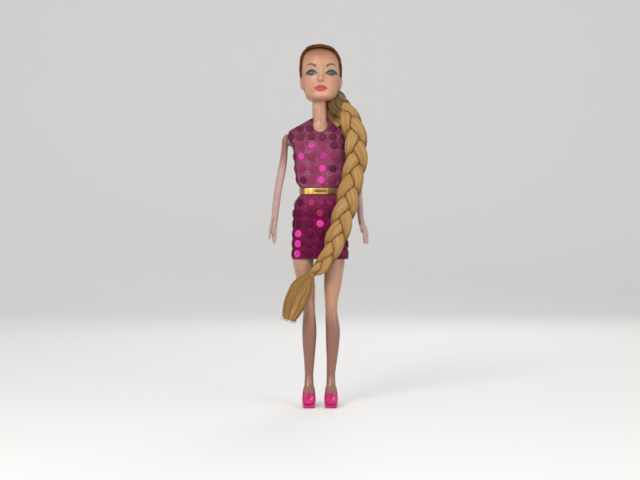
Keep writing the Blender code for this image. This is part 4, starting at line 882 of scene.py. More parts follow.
# locks at the nape: places from the body's middle plane, half widths, half depths, seed
NAPE_LOCKS = [
    ("gathered_hair", [(3.5, 17.6, 249.5), (7.4, 16.2, 245.5), (11.4, 10.6, 241.2), (13.6, 3.4, 238.0)],
     [3.2, 5.4, 6.2, 7.6, 5.0], [2.2, 4.4, 5.0, 4.8, 2.6], 5),
    ("neck_lock", [(3.0, 15.0, 248.0), (7.0, 11.5, 241.5), (9.2, 6.0, 235.0), (10.2, 1.4, 229.0),
                   (11.4, -2.6, 223.8), (16.2, -6.0, 216.6)],
     [2.4, 4.0, 4.8, 5.6, 4.4], [1.8, 2.8, 3.0, 2.8, 2.0], 6),
    ("nape_lock", [(-12.2, 4.2, 246.8), (-8.2, 10.4, 243.8), (-1.0, 12.9, 242.8), (5.6, 13.2, 243.8),
                   (9.6, 12.2, 243.2)],
     [1.0, 2.4, 3.0, 3.6, 2.8], [0.6, 1.2, 1.5, 2.0, 1.8], 7),
]


def make_gather(path):
    """The hair drawn from the nape over the shoulder, a thinner lock beside the neck, and one
    swept across the nape."""
    into_braid = path[0] + unit(path[1] - path[0]) * np.array([[-5.0], [1.5], [8.0]])
    share = np.linspace(0, 1, 70)
    for name, places, widths, depths, seed in NAPE_LOCKS:
        points = np.array(places) + (0, BODY_Y, 0)
        if name == "gathered_hair":
            points = np.concatenate([points, into_braid])
        line, _ = even_path(points, len(share))
        wide, deep = [smooth_curve([0, 0.2, 0.5, 0.75, 1], sizes, share) for sizes in (widths, depths)]
        parts = lock_tube(line, wide, deep, 96, GATHER_RIDGES, seed)
        if name == "nape_lock":
            lock = lock_mesh(name, *parts, ROOT_PAINT)
            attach(lock, "head")
        else:
            lock = lock_mesh(name, *parts, GATHER_PAINT)
            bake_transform(lock)
        if name == "gathered_hair":
            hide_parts("hair_gather")


def make_band(path, frames):
    """A thin elastic wound several times round the braid's end."""
    ahead, side, outward = [axis[-1] for axis in frames]
    turns, thread, coil = 4, 0.42, 2.75
    share = np.linspace(0, 1, turns * 28 + 1)[:, None]
    angle = math.tau * turns * share
    line = (path[-1] + ahead * (0.7 + 2.2 * share)
            + (side * np.cos(angle) + outward * np.sin(angle)) * coil)
    around = unit(np.gradient(line, axis=0))
    rings = swept(line, ahead, np.cross(around, ahead), thread, thread, 10)
    band = build("hair_elastic_turns", *tube(rings))
    use(band, BAND_PAINT)
    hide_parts("braid_band")
    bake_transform(band)


# the tail's line below the band, across and down, and its half widths and depths along it
TAIL_SWEEP = [(0.1, 0.06), (0.28, 0.16), (0.48, 0.33), (0.66, 0.52), (0.84, 0.74), (0.96, 0.9)]
TAIL_WIDE = [(0, 1.9), (0.08, 2.0), (0.22, 5.4), (0.42, 8.0), (0.62, 8.0), (0.85, 6.6), (1, 4.2)]
TAIL_DEEP = [(0, 1.7), (0.08, 1.8), (0.3, 2.5), (0.55, 2.5), (0.85, 1.6), (1, 0.7)]
TAIL_ACROSS, TAIL_DOWN = 17.6, 38.0
WISPS, WISP_ROWS, WISP_THICK = 190, 22, 0.36


def make_tail(path, frames):
    """The loose brush of hair below the band: a soft core and many single wisps."""
    ahead = frames[0][-1]
    start = path[-1] - ahead * 0.6
    below = start + ahead * 3.2
    sweep = [below - (across * TAIL_ACROSS, across * 0.3, fall * TAIL_DOWN)
             for across, fall in TAIL_SWEEP]
    line, _ = even_path([start, below, *sweep], 60)
    share = np.linspace(0, 1, len(line))
    wide, deep = [smooth_curve(*zip(*table), share) for table in (TAIL_WIDE, TAIL_DEEP)]
    locks = [lock_tube(line, wide, deep, 90, TAIL_RIDGES, 21)]
    brush = np.column_stack([line, *path_frames(line), np.maximum(wide, 5.6 * (share > 0.85)), deep])
    thick = WISP_THICK * (1 - np.linspace(0, 1, WISP_ROWS) ** 3 * 0.85)
    source = np.random.default_rng(31)
    for wisp in range(WISPS):
        angle = source.uniform(0, math.tau)
        radius = source.uniform(0.45, 1.0)
        reach = source.uniform(0.84, 1.06)
        flare = source.normal(0, 0.5)
        places = np.linspace(0.0, reach, WISP_ROWS)[:, None]
        here = between(np.minimum(places[:, 0], 1.0), share, brush)
        centre, forward, across, out = [here[:, i:i + 3] for i in (0, 3, 6, 9)]
        w, d = here[:, 12:13], here[:, 13:14]
        past_core = np.maximum(places - 1.0, 0) * 40
        hair = (centre + across * (math.cos(angle) * w * radius * 1.03 + flare * places ** 2)
                + out * math.sin(angle) * d * radius * 1.05 + forward * past_core)
        locks.append(lock_tube(hair, thick, thick, 6, WISP_RIDGES, 100 + wisp))
    rings, fibres, creases = zip(*locks)
    tail = build("loose_tail", *joined(rings), fibre=np.concatenate([with_ends(f) for f in fibres]),
                 crease=np.concatenate([with_ends(c) for c in creases]))
    use(tail, TAIL_PAINT)
    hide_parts("hair_tail")
    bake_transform(tail)


# Dress
DRESS_ROWS = [
    # z, half width, front, back, squareness
    (222.6, 6.9, 6.65, 6.65, 2.05), (221.0, 9.7, 7.1, 7.4, 2.18),
    (219.6, 12.1, 7.55, 8.0, 2.29), (217.6, 15.5, 7.97, 8.43, 2.53),
    (215.64, 19.0, 8.44, 8.78, 2.86), (214.05, 21.8, 8.94, 9.17, 3.26),
    (212.81, 23.5, 9.36, 9.47, 3.62), (211.5, 24.3, 9.7, 9.7, 4.0),
    (208.44, 24.27, 10.32, 9.79, 4.0), (204.85, 24.1, 11.07, 9.86, 4.0),
    (203.13, 22.6, 11.5, 9.9, 3.68), (201.7, 21.4, 11.9, 9.94, 3.15),
    (198.55, 20.9, 12.89, 10.02, 2.4), (194.0, 20.3, 13.5, 10.1, 2.3),
    (190.06, 20.0, 12.68, 10.03, 2.25), (184.0, 19.5, 11.3, 9.9, 2.2),
    (178.04, 18.95, 10.4, 9.7, 2.18), (174.3, 18.1, 9.9, 9.5, 2.16),
    (171.2, 17.0, 9.6, 9.35, 2.14), (169.6, 16.0, 9.35, 9.2, 2.13),
    (168.2, 14.95, 8.95, 8.95, 2.11), (166.0, 14.5, 8.7, 8.7, 2.1),
]
SKIRT_ROWS = [
    (165.85, 14.5, 8.7, 8.7, 2.1), (163.7, 14.95, 8.95, 9.0, 2.12),
    (162.2, 16.5, 9.35, 9.55, 2.15), (159.0, 18.55, 9.75, 10.2, 2.21),
    (156.4, 19.6, 10.05, 10.7, 2.25), (150.0, 20.5, 10.8, 11.7, 2.35),
    (140.0, 21.05, 11.54, 12.6, 2.5), (130.0, 21.35, 11.66, 12.76, 2.5),
    (120.0, 21.55, 11.58, 12.6, 2.5), (113.7, 21.65, 11.48, 12.44, 2.5),
]
# folds that the belt presses into the dress: height, their depth
BODICE_FOLDS = [(166.0, 0.0), (168.6, 0.06), (170.5, 0.34), (174.0, 0.16), (179.0, 0.0), (223.0, 0.0)]
SKIRT_FOLDS = [(113.0, 0.1), (140.0, 0.1), (152.0, 0.16), (157.0, 0.28), (161.5, 0.42), (163.4, 0.1),
               (166.0, 0.0)]
NECKLINE = [(7.0, 226.0), (7.0, 222.6), (6.6, 219.5), (6.0, 216.3), (5.0, 213.9), (3.5, 212.3),
            (1.8, 211.4), (0.0, 211.1)]
CLOTH_THICK, ARM_HOLE = 0.5, 5.9
SEQUIN_RADIUS, SEQUIN_STEP = 2.9, 8.3
# a sequin from its middle over the rim to the back: share of the radius, height
SEQUIN_PROFILE = [(0.06, 0.24), (0.11, 0.32), (0.5, 0.34), (0.86, 0.27), (0.97, 0.16), (1.0, 0.02),
                  (0.9, -0.08)]
# the foil's colour with painted light and shade: dull, plain, lit and bright, as each sequin is turned
# to the light
BODICE_FOIL_SHADING = {"d": (98, 36, 60), "p": (150, 55, 92), "l": (196, 62, 138), "b": (226, 66, 162)}
SKIRT_FOIL_SHADING = {"d": (88, 12, 55), "p": (124, 28, 86), "l": (154, 38, 90), "b": (222, 46, 164)}
# sequins of the front: height, places across and the painted light and shade of each
BODICE_SEQUINS = [
    (213.9, (-15.6, -7.8, 10.0, 18.2), "dddd"),
    (207.4, (-22.2, -14.9, -7.0, 1.8, 10.0, 18.2), "dddddd"),
    (201.0, (-15.2, -6.3, 1.9, 10.6, 18.6), "plpdd"),
    (192.6, (-14.5, -6.0, 2.6, 11.1, 19.0), "bplpp"),
    (183.3, (-13.8, -5.6, 1.9, 9.5, 17.4), "ppbdp"),
    (174.4, (-12.8, -6.2, 0.9, 9.0, 16.6), "dpbpp"),
]
SKIRT_SEQUINS = [
    (157.2, (-15.1, -6.6, 1.2, 8.3, 16.2), "dlplp"),
    (149.0, (-15.8, -8.0, 0.2, 7.5, 15.6), "ddldp"),
    (140.9, (-16.2, -8.0, 0.2, 8.2, 16.2), "ddbpp"),
    (133.2, (-16.7, -8.4, 0.0, 8.2, 16.6), "bdddp"),
    (125.5, (-17.0, -8.4, 0.0, 8.4, 17.0), "bdddp"),
    (117.7, (-17.5, -8.4, 0.0, 8.6, 18.4), "bdddp"),
]
# colours of the other sequins, the bright ones, seldom, with painted light
OTHER_SEQUINS = [(150, 56, 96), (120, 40, 76), (104, 34, 66), (160, 50, 104), (140, 30, 92),
                 (236, 62, 180)]


def rows_of(table, count):
    rows = [(0, BODY_Y, z, wide, front, back, square, 0) for z, wide, front, back, square in table]
    return dense(rows, count)


def row_at(rows, z):
    """The dress's outline at a height."""
    return between(z, rows[::-1, 2], rows[::-1])


def cloth_strip(name, rows, low, high, count, folds):
    """A part of the dress between two angles, with the folds that the belt presses in."""
    rings = ring_points(rows, np.linspace(low, high, count))
    steps = np.linalg.norm(np.diff(rings, axis=1), axis=2)
    around = np.concatenate([np.zeros((len(rows), 1)), np.cumsum(steps, axis=1)], axis=1)
    around -= around[:, count // 2:count // 2 + 1]
    cloth = np.stack([around, rings[..., 2], np.zeros_like(around)], axis=2) * MM
    side = np.abs(rings[..., 0]) / rows[:, 3:4]
    outward = rings - (0, BODY_Y, 0)
    outward[..., 2] = 0
    outward = unit(outward)
    turn = np.arctan2(outward[..., 1], outward[..., 0])
    wave = 0.6 * np.sin(turn * 19 + 1.0) + 0.4 * np.sin(turn * 31 + rings[..., 2] * 0.05)
    rings = rings + outward * (np.interp(rings[..., 2], *zip(*folds)) * wave)[..., None]
    return build(name, rings.reshape(-1, 3), grid_faces(len(rows), count, False), outward=False,
                 cloth=cloth.reshape(-1, 3), side=side.ravel())


def thicken(thing):
    """Gives a sheet its thickness on the inside, whichever way its faces point."""
    middle = Vector((0, BODY_Y * MM, 0))
    if sum((face.center - middle).to_2d() @ face.normal.to_2d() for face in thing.data.polygons) < 0:
        thing.data.flip_normals()
    modifier(thing, "SOLIDIFY", thickness=CLOTH_THICK * MM, offset=-1)
    apply_modifiers(thing)


def surface(rows, z, x=None, y=None):
    """The point of the dress's front or side at a height, from its other coordinate."""
    _, _, _, wide, front, back, power, _ = row_at(rows, z)
    if x is None:
        depth = abs(y - BODY_Y) / (front if y < BODY_Y else back)
        return np.array([wide * (1 - min(depth, 1) ** power) ** (1 / power), y, z])
    return np.array([x, BODY_Y - front * (1 - min(abs(x) / wide, 1) ** power) ** (1 / power), z])


def trim(name, points, radius, closed=True):
    """A thin rolled edge along a line on the dress."""
    line = np.array(points)
    step = np.roll(line, -1, axis=0) - np.roll(line, 1, axis=0) if closed else np.gradient(line, axis=0)
    ahead = unit(step)
    first = unit(np.cross(ahead, line - (0, BODY_Y, 190.0)))
    rings = swept(line, first, np.cross(ahead, first), radius, radius, 8)
    mesh = (rings.reshape(-1, 3), looped_faces(len(line), 8)) if closed else tube(rings)
    piece = build(name, *mesh)
    use(piece, TRIM_PAINT)
    return piece


def make_bodice():
    rows = rows_of(DRESS_ROWS, 130)
    bodice = cloth_strip("bodice", rows, 0, math.tau, 241, BODICE_FOLDS)
    bm = bmesh.new()
    bm.from_mesh(bodice.data)
    bmesh.ops.remove_doubles(bm, verts=bm.verts, dist=1e-6)
    bm.to_mesh(bodice.data)
    bm.free()
    thicken(bodice)
    cutters, trims = [], []
    circle = [(BODY_Y + ARM_HOLE * math.cos(angle), SHOULDER_Z + ARM_HOLE * math.sin(angle))
              for angle in angles_of(48)]
    for side, name in SIDES:
        cutters.append(prism(circle, "X", *sorted((side * 19.8, side * 40))))
        hole = [surface(rows, z, y=y) * (side, 1, 1) for y, z in circle]
        trims.append(trim(name + "_arm_trim", hole, 0.32))
    half = [tuple(place) for place in dense(NECKLINE, 36)]
    outline = half + [(-x, z) for x, z in half[-2::-1]]
    cutters.append(prism(outline, "Y", -40, BODY_Y))
    cut_away(bodice, cutters, 40)
    use(bodice, BODICE_PAINT)
    edge = [surface(rows, z, x=x) for x, z in outline if z < 222.3]
    behind = ring_points(rows[0], np.linspace(math.tau - 0.25, math.pi + 0.25, 40))[0]
    trims.append(trim("neck_trim", edge + list(behind), 0.24))
    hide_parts("dress_bodice")
    for piece in (bodice, *trims):
        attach(piece, "torso")
    return rows, bodice, trims


def make_closure(rows):
    """The closing tape down the dress's back, two layers with a row of stitches along each edge."""
    low, high = [corner[2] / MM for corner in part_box("dress_closure")]

    def behind(x, z):
        wide, back, power = np.moveaxis(row_at(rows, z), -1, 0)[[3, 5, 6]]
        return BODY_Y + back * (1 - (np.abs(x) / wide) ** power) ** (1 / power)

    def layer(name, half, lift, paint):
        x, z = np.meshgrid(np.linspace(-half, half, 25), np.linspace(low, high, 90))
        inland = np.minimum(half - np.abs(x), np.minimum(z - low, high - z))
        thick = (0.3 + 0.05 * np.sin(z * math.tau / 0.9)) * np.clip(inland / 0.4, 0, 1) ** 0.5
        grids = [np.stack([x, behind(x, z) + lift + out, z], axis=2) for out in (thick, -0.3)]
        piece = build(name, *shell(*grids))
        use(piece, paint)
        return piece

    tape = layer("closure_tape", 3.5, 0.25, TAPE_PAINT)
    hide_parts("dress_closure")
    lap = layer("closure_lap", 2.2, 0.6, LAP_PAINT)
    share = np.linspace(0, 1, 7)
    thick = 0.12 * np.sin(np.clip(share, 0.08, 0.92) * math.pi) ** 0.4
    threads = []
    for x in (-2.9, 2.9):
        for start in np.arange(low + 0.9, high - 1.6, 1.5):
            z = start + share
            line = np.stack([np.full(7, x), behind(x, z) + 0.56, z], axis=1)
            threads.append(swept(line, (1, 0, 0), (0, 1, 0), thick, thick, 8))
    stitches = build("closure_stitches", *joined(threads))
    use(stitches, STITCH_PAINT)
    for piece in (tape, lap, stitches):
        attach(piece, "torso")
    return [tape, lap, stitches]


def make_skirt():
    """The two halves of the skirt, one over each thigh."""
    rows = rows_of(SKIRT_ROWS, 110)
    halves = {}
    for side, name in SIDES:
        low, high = (-math.pi / 2, math.pi / 2) if side > 0 else (math.pi / 2, 3 * math.pi / 2)
        skirt = cloth_strip("skirt_" + name, rows, low, high, 150, SKIRT_FOLDS)
        edge = ring_points(rows[-1], np.linspace(low + 0.01, high - 0.01, 90))[0] + (0, 0, 0.3)
        hem = trim(name + "_hem", edge, 0.32, False)
        thicken(skirt)
        use(skirt, SKIRT_PAINT)
        if side > 0:
            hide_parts("dress_skirt")
        for piece in (skirt, hem):
            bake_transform(piece)
        halves[name] = (skirt, hem)
    return rows, halves


def surface_places(rows, height, front, shades, foil, source):
    """Points, normals and colours, with painted light and shade, of sequins round the dress at one
    height:
    those of the front, then more of them evenly round the rest."""
    angles = np.linspace(math.pi / 2, math.pi / 2 - math.tau, 1441)
    ring, ring_above = [ring_points(row_at(rows, z), angles)[0] for z in (height, height + 0.5)]
    far = far_along(ring)
    places = []
    for x, shade in zip(front, shades):
        index = int(np.argmin(np.where(ring[:, 1] < BODY_Y, np.abs(ring[:, 0] - x), np.inf)))
        place = far[index] if far[index] < far[-1] / 2 else far[index] - far[-1]
        places.append((place, foil[shade]))
    first, last = places[0][0], places[-1][0]
    rest = far[-1] - (last - first)
    count = int(round(rest / SEQUIN_STEP))
    for step in range(1, count):
        # about one in ten is bright with painted light, but none next to those of the front
        pick = min(int(source.random() * 5.6), 5)
        beside = step in (1, count - 1)
        places.append((last + rest * step / count, OTHER_SEQUINS[pick % 5 if beside else pick]))
    found = []
    for place, colour in places:
        i = min(int(np.searchsorted(far, place % far[-1])), len(ring) - 2)
        normal = unit(np.cross(ring[i + 1] - ring[i], ring_above[i] - ring[i]))
        if normal @ (ring[i] - (0, BODY_Y, ring[i][2])) < 0:
            normal = -normal
        found.append((ring[i], normal, colour))
    return found


def sequin_mesh(name, places, source):
    """All the sequins of one part of the dress: thin domed discs with a pin mark."""
    radius, lift = np.array(SEQUIN_PROFILE).T
    discs, foils, glows = [], [], []
    for point, normal, colour in places:
        normal = unit(normal + source.normal(0, 0.05, 3))
        across = unit(np.cross(normal, (0, 0, 1.0)))
        line = point + normal * 0.24 + normal * lift[:, None]
        wide = radius * SEQUIN_RADIUS
        discs.append(swept(line, across, np.cross(across, normal), wide, wide, 22))
        count = 22 * len(line) + 2
        foils.append(np.tile(rgb(*colour)[:3], (count, 1)))
        # the bright sequins get the painted glint
        glows.append(np.full(count, float(colour[0] > 200)))
    thing = build(name, *joined(discs), foil=np.concatenate(foils), glow=np.concatenate(glows))
    use(thing, SEQUIN_PAINT)
    return thing


def make_sequins(bodice_rows, skirt_rows):
    source = np.random.default_rng(7)
    places = []
    for row in BODICE_SEQUINS:
        for point, normal, colour in surface_places(bodice_rows, *row, BODICE_FOIL_SHADING, source):
            x, y, z = point
            # none where they would hang over the arm hole, the closure or the shoulder
            near_arm = math.hypot(y - BODY_Y, z - SHOULDER_Z) < ARM_HOLE + 2.7 and abs(x) > 16.5
            closure = abs(x) < 6.2 and y > BODY_Y
            if not ((near_arm and y > -5.0) or closure or normal[2] > 0.75):
                places.append((point, normal, colour))
    pieces = {"bodice": sequin_mesh("bodice_sequins", places, source)}
    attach(pieces["bodice"], "torso")
    sides = {"left": [], "right": []}
    for row in SKIRT_SEQUINS:
        for found in surface_places(skirt_rows, *row, SKIRT_FOIL_SHADING, source):
            sides["left" if found[0][0] > 0.1 else "right"].append(found)
    for name, found in sides.items():
        pieces[name] = sequin_mesh("skirt_sequins_" + name, found, source)
        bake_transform(pieces[name])
    return pieces


# Belt: half width, front and back of its inner face, and its squareness
BELT_WIDE, BELT_FRONT, BELT_BACK, BELT_POWER = 15.1, 8.85, 8.95, 2.1
BELT_PROFILE = [(0.35, 2.35), (0.75, 2.3), (0.85, 1.9), (0.8, 0.0), (0.85, -1.9), (0.75, -2.3),
                (0.35, -2.35), (0.3, 0.0)]


def plate(name, low, high, half_high, out, thick, paint, hole=None):
    """A curved plate on the front of the belt. A hole leaves a rim of the two widths it gives."""
    def at(extra, x, z):
        curve = (1 - (abs(x) / (BELT_WIDE + extra)) ** BELT_POWER) ** (1 / BELT_POWER)
        return (x, BODY_Y - (BELT_FRONT + extra) * curve, BELT_Z + z)

    def rim(extra, inset, rise):
        places = np.linspace(low + inset, high - inset, 40)
        return ([at(extra, x, rise - half_high) for x in places]
                + [at(extra, x, half_high - rise) for x in places[::-1]])

    thicker = out + thick
    if hole:
        rings = np.array([rim(out, 0, 0), rim(thicker, 0, 0), rim(thicker, *hole), rim(out, *hole)])
        thing = build(name, rings.reshape(-1, 3), looped_faces(4, 80))
    else:
        corners = ((out, -half_high), (out, half_high), (thicker, half_high), (thicker, -half_high))
        rings = [[at(extra, x, z) for extra, z in corners] for x in np.linspace(low, high, 40)]
        thing = build(name, *tube(np.array(rings)))
    modifier(thing, "BEVEL", width=0.12 * MM, segments=2, limit_method="ANGLE")
    apply_modifiers(thing)
    thing.data.shade_smooth()
    use(thing, paint)
    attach(thing, "torso")
    return thing


def make_belt():
    """A gold foil belt, its buckle frame and the tongue end."""
    rings = [ring_points((0, BODY_Y, BELT_Z + high, BELT_WIDE + out, BELT_FRONT + out, BELT_BACK + out,
                          BELT_POWER, 0), angles_of(120))[0] for out, high in BELT_PROFILE]
    belt = build("belt_band", np.concatenate(rings), looped_faces(len(rings), 120))
    use(belt, BELT_PAINT)
    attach(belt, "torso")
    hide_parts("belt")
    buckle = plate("buckle_frame", -5.5, 6.1, 2.35, 0.92, 0.55, FRAME_PAINT, (1.0, 1.4))
    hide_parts("belt_buckle")
    plate("buckle_plate", -11.9, -5.8, 2.2, 0.92, 0.4, BUCKLE_PAINT)
    plate("belt_tongue", -5.3, 5.9, 1.55, 0.9, 0.2, TONGUE_PAINT)


# Arms and hands
ARM_ROWS = [
    # z, x, half width, half depth, and how much less the left arm is spread
    (210.2, 25.2, 1.5, 2.4, 0.0), (208.5, 25.9, 2.3, 3.5, 0.0), (205.0, 26.9, 2.6, 4.1, 0.0),
    (199.0, 27.4, 2.45, 3.4, 0.1), (191.3, 28.15, 2.85, 3.2, 0.4), (180.0, 30.0, 3.25, 3.3, 1.2),
    (174.0, 31.2, 3.1, 3.0, 1.9), (164.0, 32.9, 2.95, 2.7, 2.9), (150.0, 34.6, 2.75, 2.5, 3.4),
    (143.5, 35.2, 2.5, 2.15, 3.4), (139.2, 36.2, 2.9, 1.95, 3.0), (135.6, 36.6, 2.9, 1.75, 2.0),
    (133.0, 36.6, 2.6, 1.5, 1.3),
]
# the shoulder's round end: place across and radius
SHOULDER_ROWS = [(20.1, 4.2), (20.5, 4.8), (21.1, 5.0), (21.9, 4.6), (22.9, 4.0), (24.4, 3.7),
                 (25.6, 3.3), (26.4, 2.6)]
# how far the hand lies below the shoulder and in front of it
ARM_LONG, ARM_FORWARD = 79, 2.37
# for each hand: fingers and thumb as start, direction, bend, length, radius
RIGHT_HAND = [
    ((-34.4, -1.4, 134.8), (-0.02, 0.05, -1), (0, -0.5, 0), 8.0, 1.1),
    ((-35.3, -0.4, 134.6), (0.0, 0.0, -1), (0, -0.6, 0), 9.3, 1.14),
    ((-36.3, 0.8, 134.6), (0.06, 0.0, -1), (0, -0.6, 0), 8.9, 1.14),
    ((-37.0, 2.0, 134.8), (0.12, 0.0, -1), (0, -0.4, 0), 7.7, 1.05),
    ((-36.4, -1.6, 146.5), (-0.26, -0.05, -1), (2.0, 0, 0), 18.6, 1.1),
]
LEFT_HAND = [
    ((33.9, -1.2, 134.6), (0.0, -0.1, -1), (0, 0, 0), 8.8, 0.98),
    ((34.9, -0.3, 134.4), (0.04, 0.0, -1), (0, -0.3, 0), 9.3, 1.0),
    ((35.7, 0.6, 134.4), (0.12, 0.0, -1), (0, -0.3, 0), 9.4, 1.0),
    ((36.2, 1.5, 134.8), (0.1, 0.1, -1), (0, -0.2, 0), 8.4, 0.94),
    ((31.4, -2.0, 140.0), (0.02, -0.35, -1), (0.5, 0, 0), 6.4, 0.9),
]


def finger(start, direction, bend, length, radius):
    """Rings of a tapering finger with a round tip."""
    share = np.linspace(0, 1, 16)
    line = start + unit(np.array(direction, float)) * (share * length)[:, None]
    line = line + np.array(bend, float) * (share ** 2)[:, None]
    ahead = unit(np.gradient(line, axis=0))
    first = unit(np.cross(ahead, (0.3, 1.0, 0.1)))
    knuckle = 1 + 0.06 * np.cos(share * math.tau * 2)
    tip = np.sqrt(np.clip(1 - np.clip((share - 0.86) / 0.14, 0, 1) ** 2, 0.02, 1))
    radii = radius * (1 - 0.28 * share) * knuckle * tip
    return swept(line, first, np.cross(ahead, first), radii, radii, 12)


def make_arm(side, name):
    """An arm with its hand and round shoulder end, merged into one skin."""
    left = side > 0
    table = []
    for z, x, wide, deep, less in ARM_ROWS:
        y = BODY_Y - max((SHOULDER_Z - z) / ARM_LONG, 0) ** 2 * ARM_FORWARD
        slimmer = 0.9 if left and z < 170 else 1
        table.append((side * (x - (less if left else 0)), y, z, wide * slimmer, deep, deep, 2.2, 0))
    across, radii = np.array(SHOULDER_ROWS).T
    line = np.outer(side * across, (1, 0, 0)) + (0, BODY_Y, SHOULDER_Z)
    parts = [ring_points(dense(table, 90), angles_of(32)),
             swept(line, (0, 1, 0), (0, 0, 1), radii, radii, 40)]
    parts += [finger(*item) for item in (LEFT_HAND if left else RIGHT_HAND)]
    arm = build(name + "_arm_skin", *joined(parts))
    modifier(arm, "REMESH", mode="VOXEL", voxel_size=0.32 * MM, use_smooth_shade=True)
    modifier(arm, "SMOOTH", factor=0.5, iterations=2)
    apply_modifiers(arm)
    if "rest" in arm.data.attributes:
        arm.data.attributes.remove(arm.data.attributes["rest"])
    add_attribute(arm.data, "rest", [vertex.co for vertex in arm.data.vertices])
    arm.data.shade_smooth()
    use(arm, ARM_PAINT)
    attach(arm, name + "_arm")
    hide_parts(name + "_arm")


# Legs and shoes
LEG_ROWS = [
    # x, y, z, half width, front, back, squareness, tilt
    (12.3, 0, 143.9, 3.2, 3.0, 3.3, 2.1, 0), (12.3, 0, 142.4, 5.2, 5.2, 5.7, 2.1, 0),
    (12.3, 0, 139.6, 6.8, 7.2, 7.9, 2.1, 0), (12.3, 0, 135.0, 7.9, 8.6, 9.4, 2.1, 0),
    (12.4, 0, 124.5, 8.0, 8.65, 9.3, 2.1, 0), (12.4, 0, 113.4, 8.2, 8.6, 9.0, 2.1, 0),
    (11.6, 0, 101.7, 7.4, 8.2, 8.3, 2.1, 0), (10.7, 0, 92.9, 6.8, 7.4, 7.2, 2.1, 0),
    (9.4, 0, 83.0, 5.35, 6.1, 5.9, 2.1, 0), (8.8, 0, 76.5, 4.8, 5.55, 5.3, 2.1, 0),
    (8.7, 0.1, 72.8, 4.65, 5.25, 5.2, 2.1, 0), (8.9, 0.4, 66.5, 5.15, 5.4, 6.0, 2.1, 0),
    (9.2, 0.7, 57.1, 5.6, 5.5, 7.0, 2.1, 0), (9.1, 1.1, 47.1, 5.15, 5.1, 6.5, 2.1, 0),
    (8.8, 1.5, 36.1, 4.2, 4.35, 4.7, 2.1, 0), (8.5, 2.0, 24.0, 3.4, 3.9, 3.9, 2.1, 0),
    (8.5, 0.9, 19.2, 3.5, 4.3, 5.5, 2.2, 0.31), (8.5, -1.8, 14.4, 3.7, 3.4, 6.0, 2.2, 0.66),
    (8.5, -5.6, 10.1, 4.0, 2.7, 3.3, 2.2, 0.97), (8.5, -9.4, 7.0, 4.4, 2.3, 2.3, 2.2, 1.26),
    (8.5, -13.2, 5.5, 4.2, 1.8, 1.9, 2.2, 1.48), (8.5, -15.7, 4.9, 3.2, 1.4, 1.4, 2.2, 1.57),
    (8.5, -17.0, 4.7, 1.8, 0.8, 0.9, 2.2, 1.57),
]
# how far the legs lean sideways: height, the left leg, the right leg
LEG_LEAN = [(24, 0, 0), (36, 0.5, 0.5), (57, 0.8, 1.0), (76.5, 0.0, 0.3), (89, -0.8, 0.2),
            (97, -1.0, 0.1), (111, -1.3, -0.6), (124, -1.0, -0.4), (144, -0.4, 0)]
# the shoe seen from its side: place from the body's middle plane, height
SOLE = [
    (-16.1, 1.5), (-15.3, 0.0), (-5.6, 0.0), (-3.5, 1.3), (1.35, 5.2), (5.1, 6.5), (5.4, 0.0),
    (10.7, 0.0), (11.1, 10.3), (8.4, 11.0), (4.6, 9.6), (-0.8, 6.5), (-6.7, 3.9), (-14.3, 3.1),
]
# half widths of the sole along it
SOLE_WIDE = [(-16.5, 3.6), (-14.5, 4.6), (-10, 5.4), (-4, 5.0), (1, 4.0), (5, 3.6), (9, 3.7),
             (11.5, 3.5)]
THROAT = [(-7.6, 30.0), (-7.6, 11.4), (-6.6, 9.0), (-4.6, 9.2), (1.5, 12.8), (7.6, 16.2), (14.0, 18.0),
          (14.0, 30.0)]
ABOVE_ANKLE = [(-20, 19.5), (20, 19.5), (20, 60), (-20, 60)]
FOOT_ROWS, SHOE_GAP, TOE_GAP, SHOE_THICK = 9, 0.35, 0.6, 0.55


def make_leg(side, name):
    heights, *leans = zip(*LEG_LEAN)
    lean = leans[0 if side > 0 else 1]
    table = [(side * x + np.interp(z, heights, lean), BODY_Y + y, z, *rest)
             for x, y, z, *rest in LEG_ROWS]
    rings = ring_points(dense(table, 200), angles_of(64))
    # a faint knee cap and the shin's edge
    z, front = rings[..., 2], np.clip((BODY_Y - rings[..., 1]) / 4.0, 0, 1)
    near = np.abs(rings[..., 0] - side * 8.8)
    knee = 0.45 * np.exp(-((z - 77.5) / 3.2) ** 2 - (near / 2.6) ** 2)
    knee -= 0.22 * np.exp(-((z - 72.4) / 1.6) ** 2 - (near / 3.0) ** 2)
    rings[..., 1] -= knee * front * (z > 60)
    leg = build(name + "_leg_skin", *tube(rings))
    use(leg, LEG_PAINT)
    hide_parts(name + "_thigh", name + "_knee_sleeve", name + "_shin")
    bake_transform(leg)


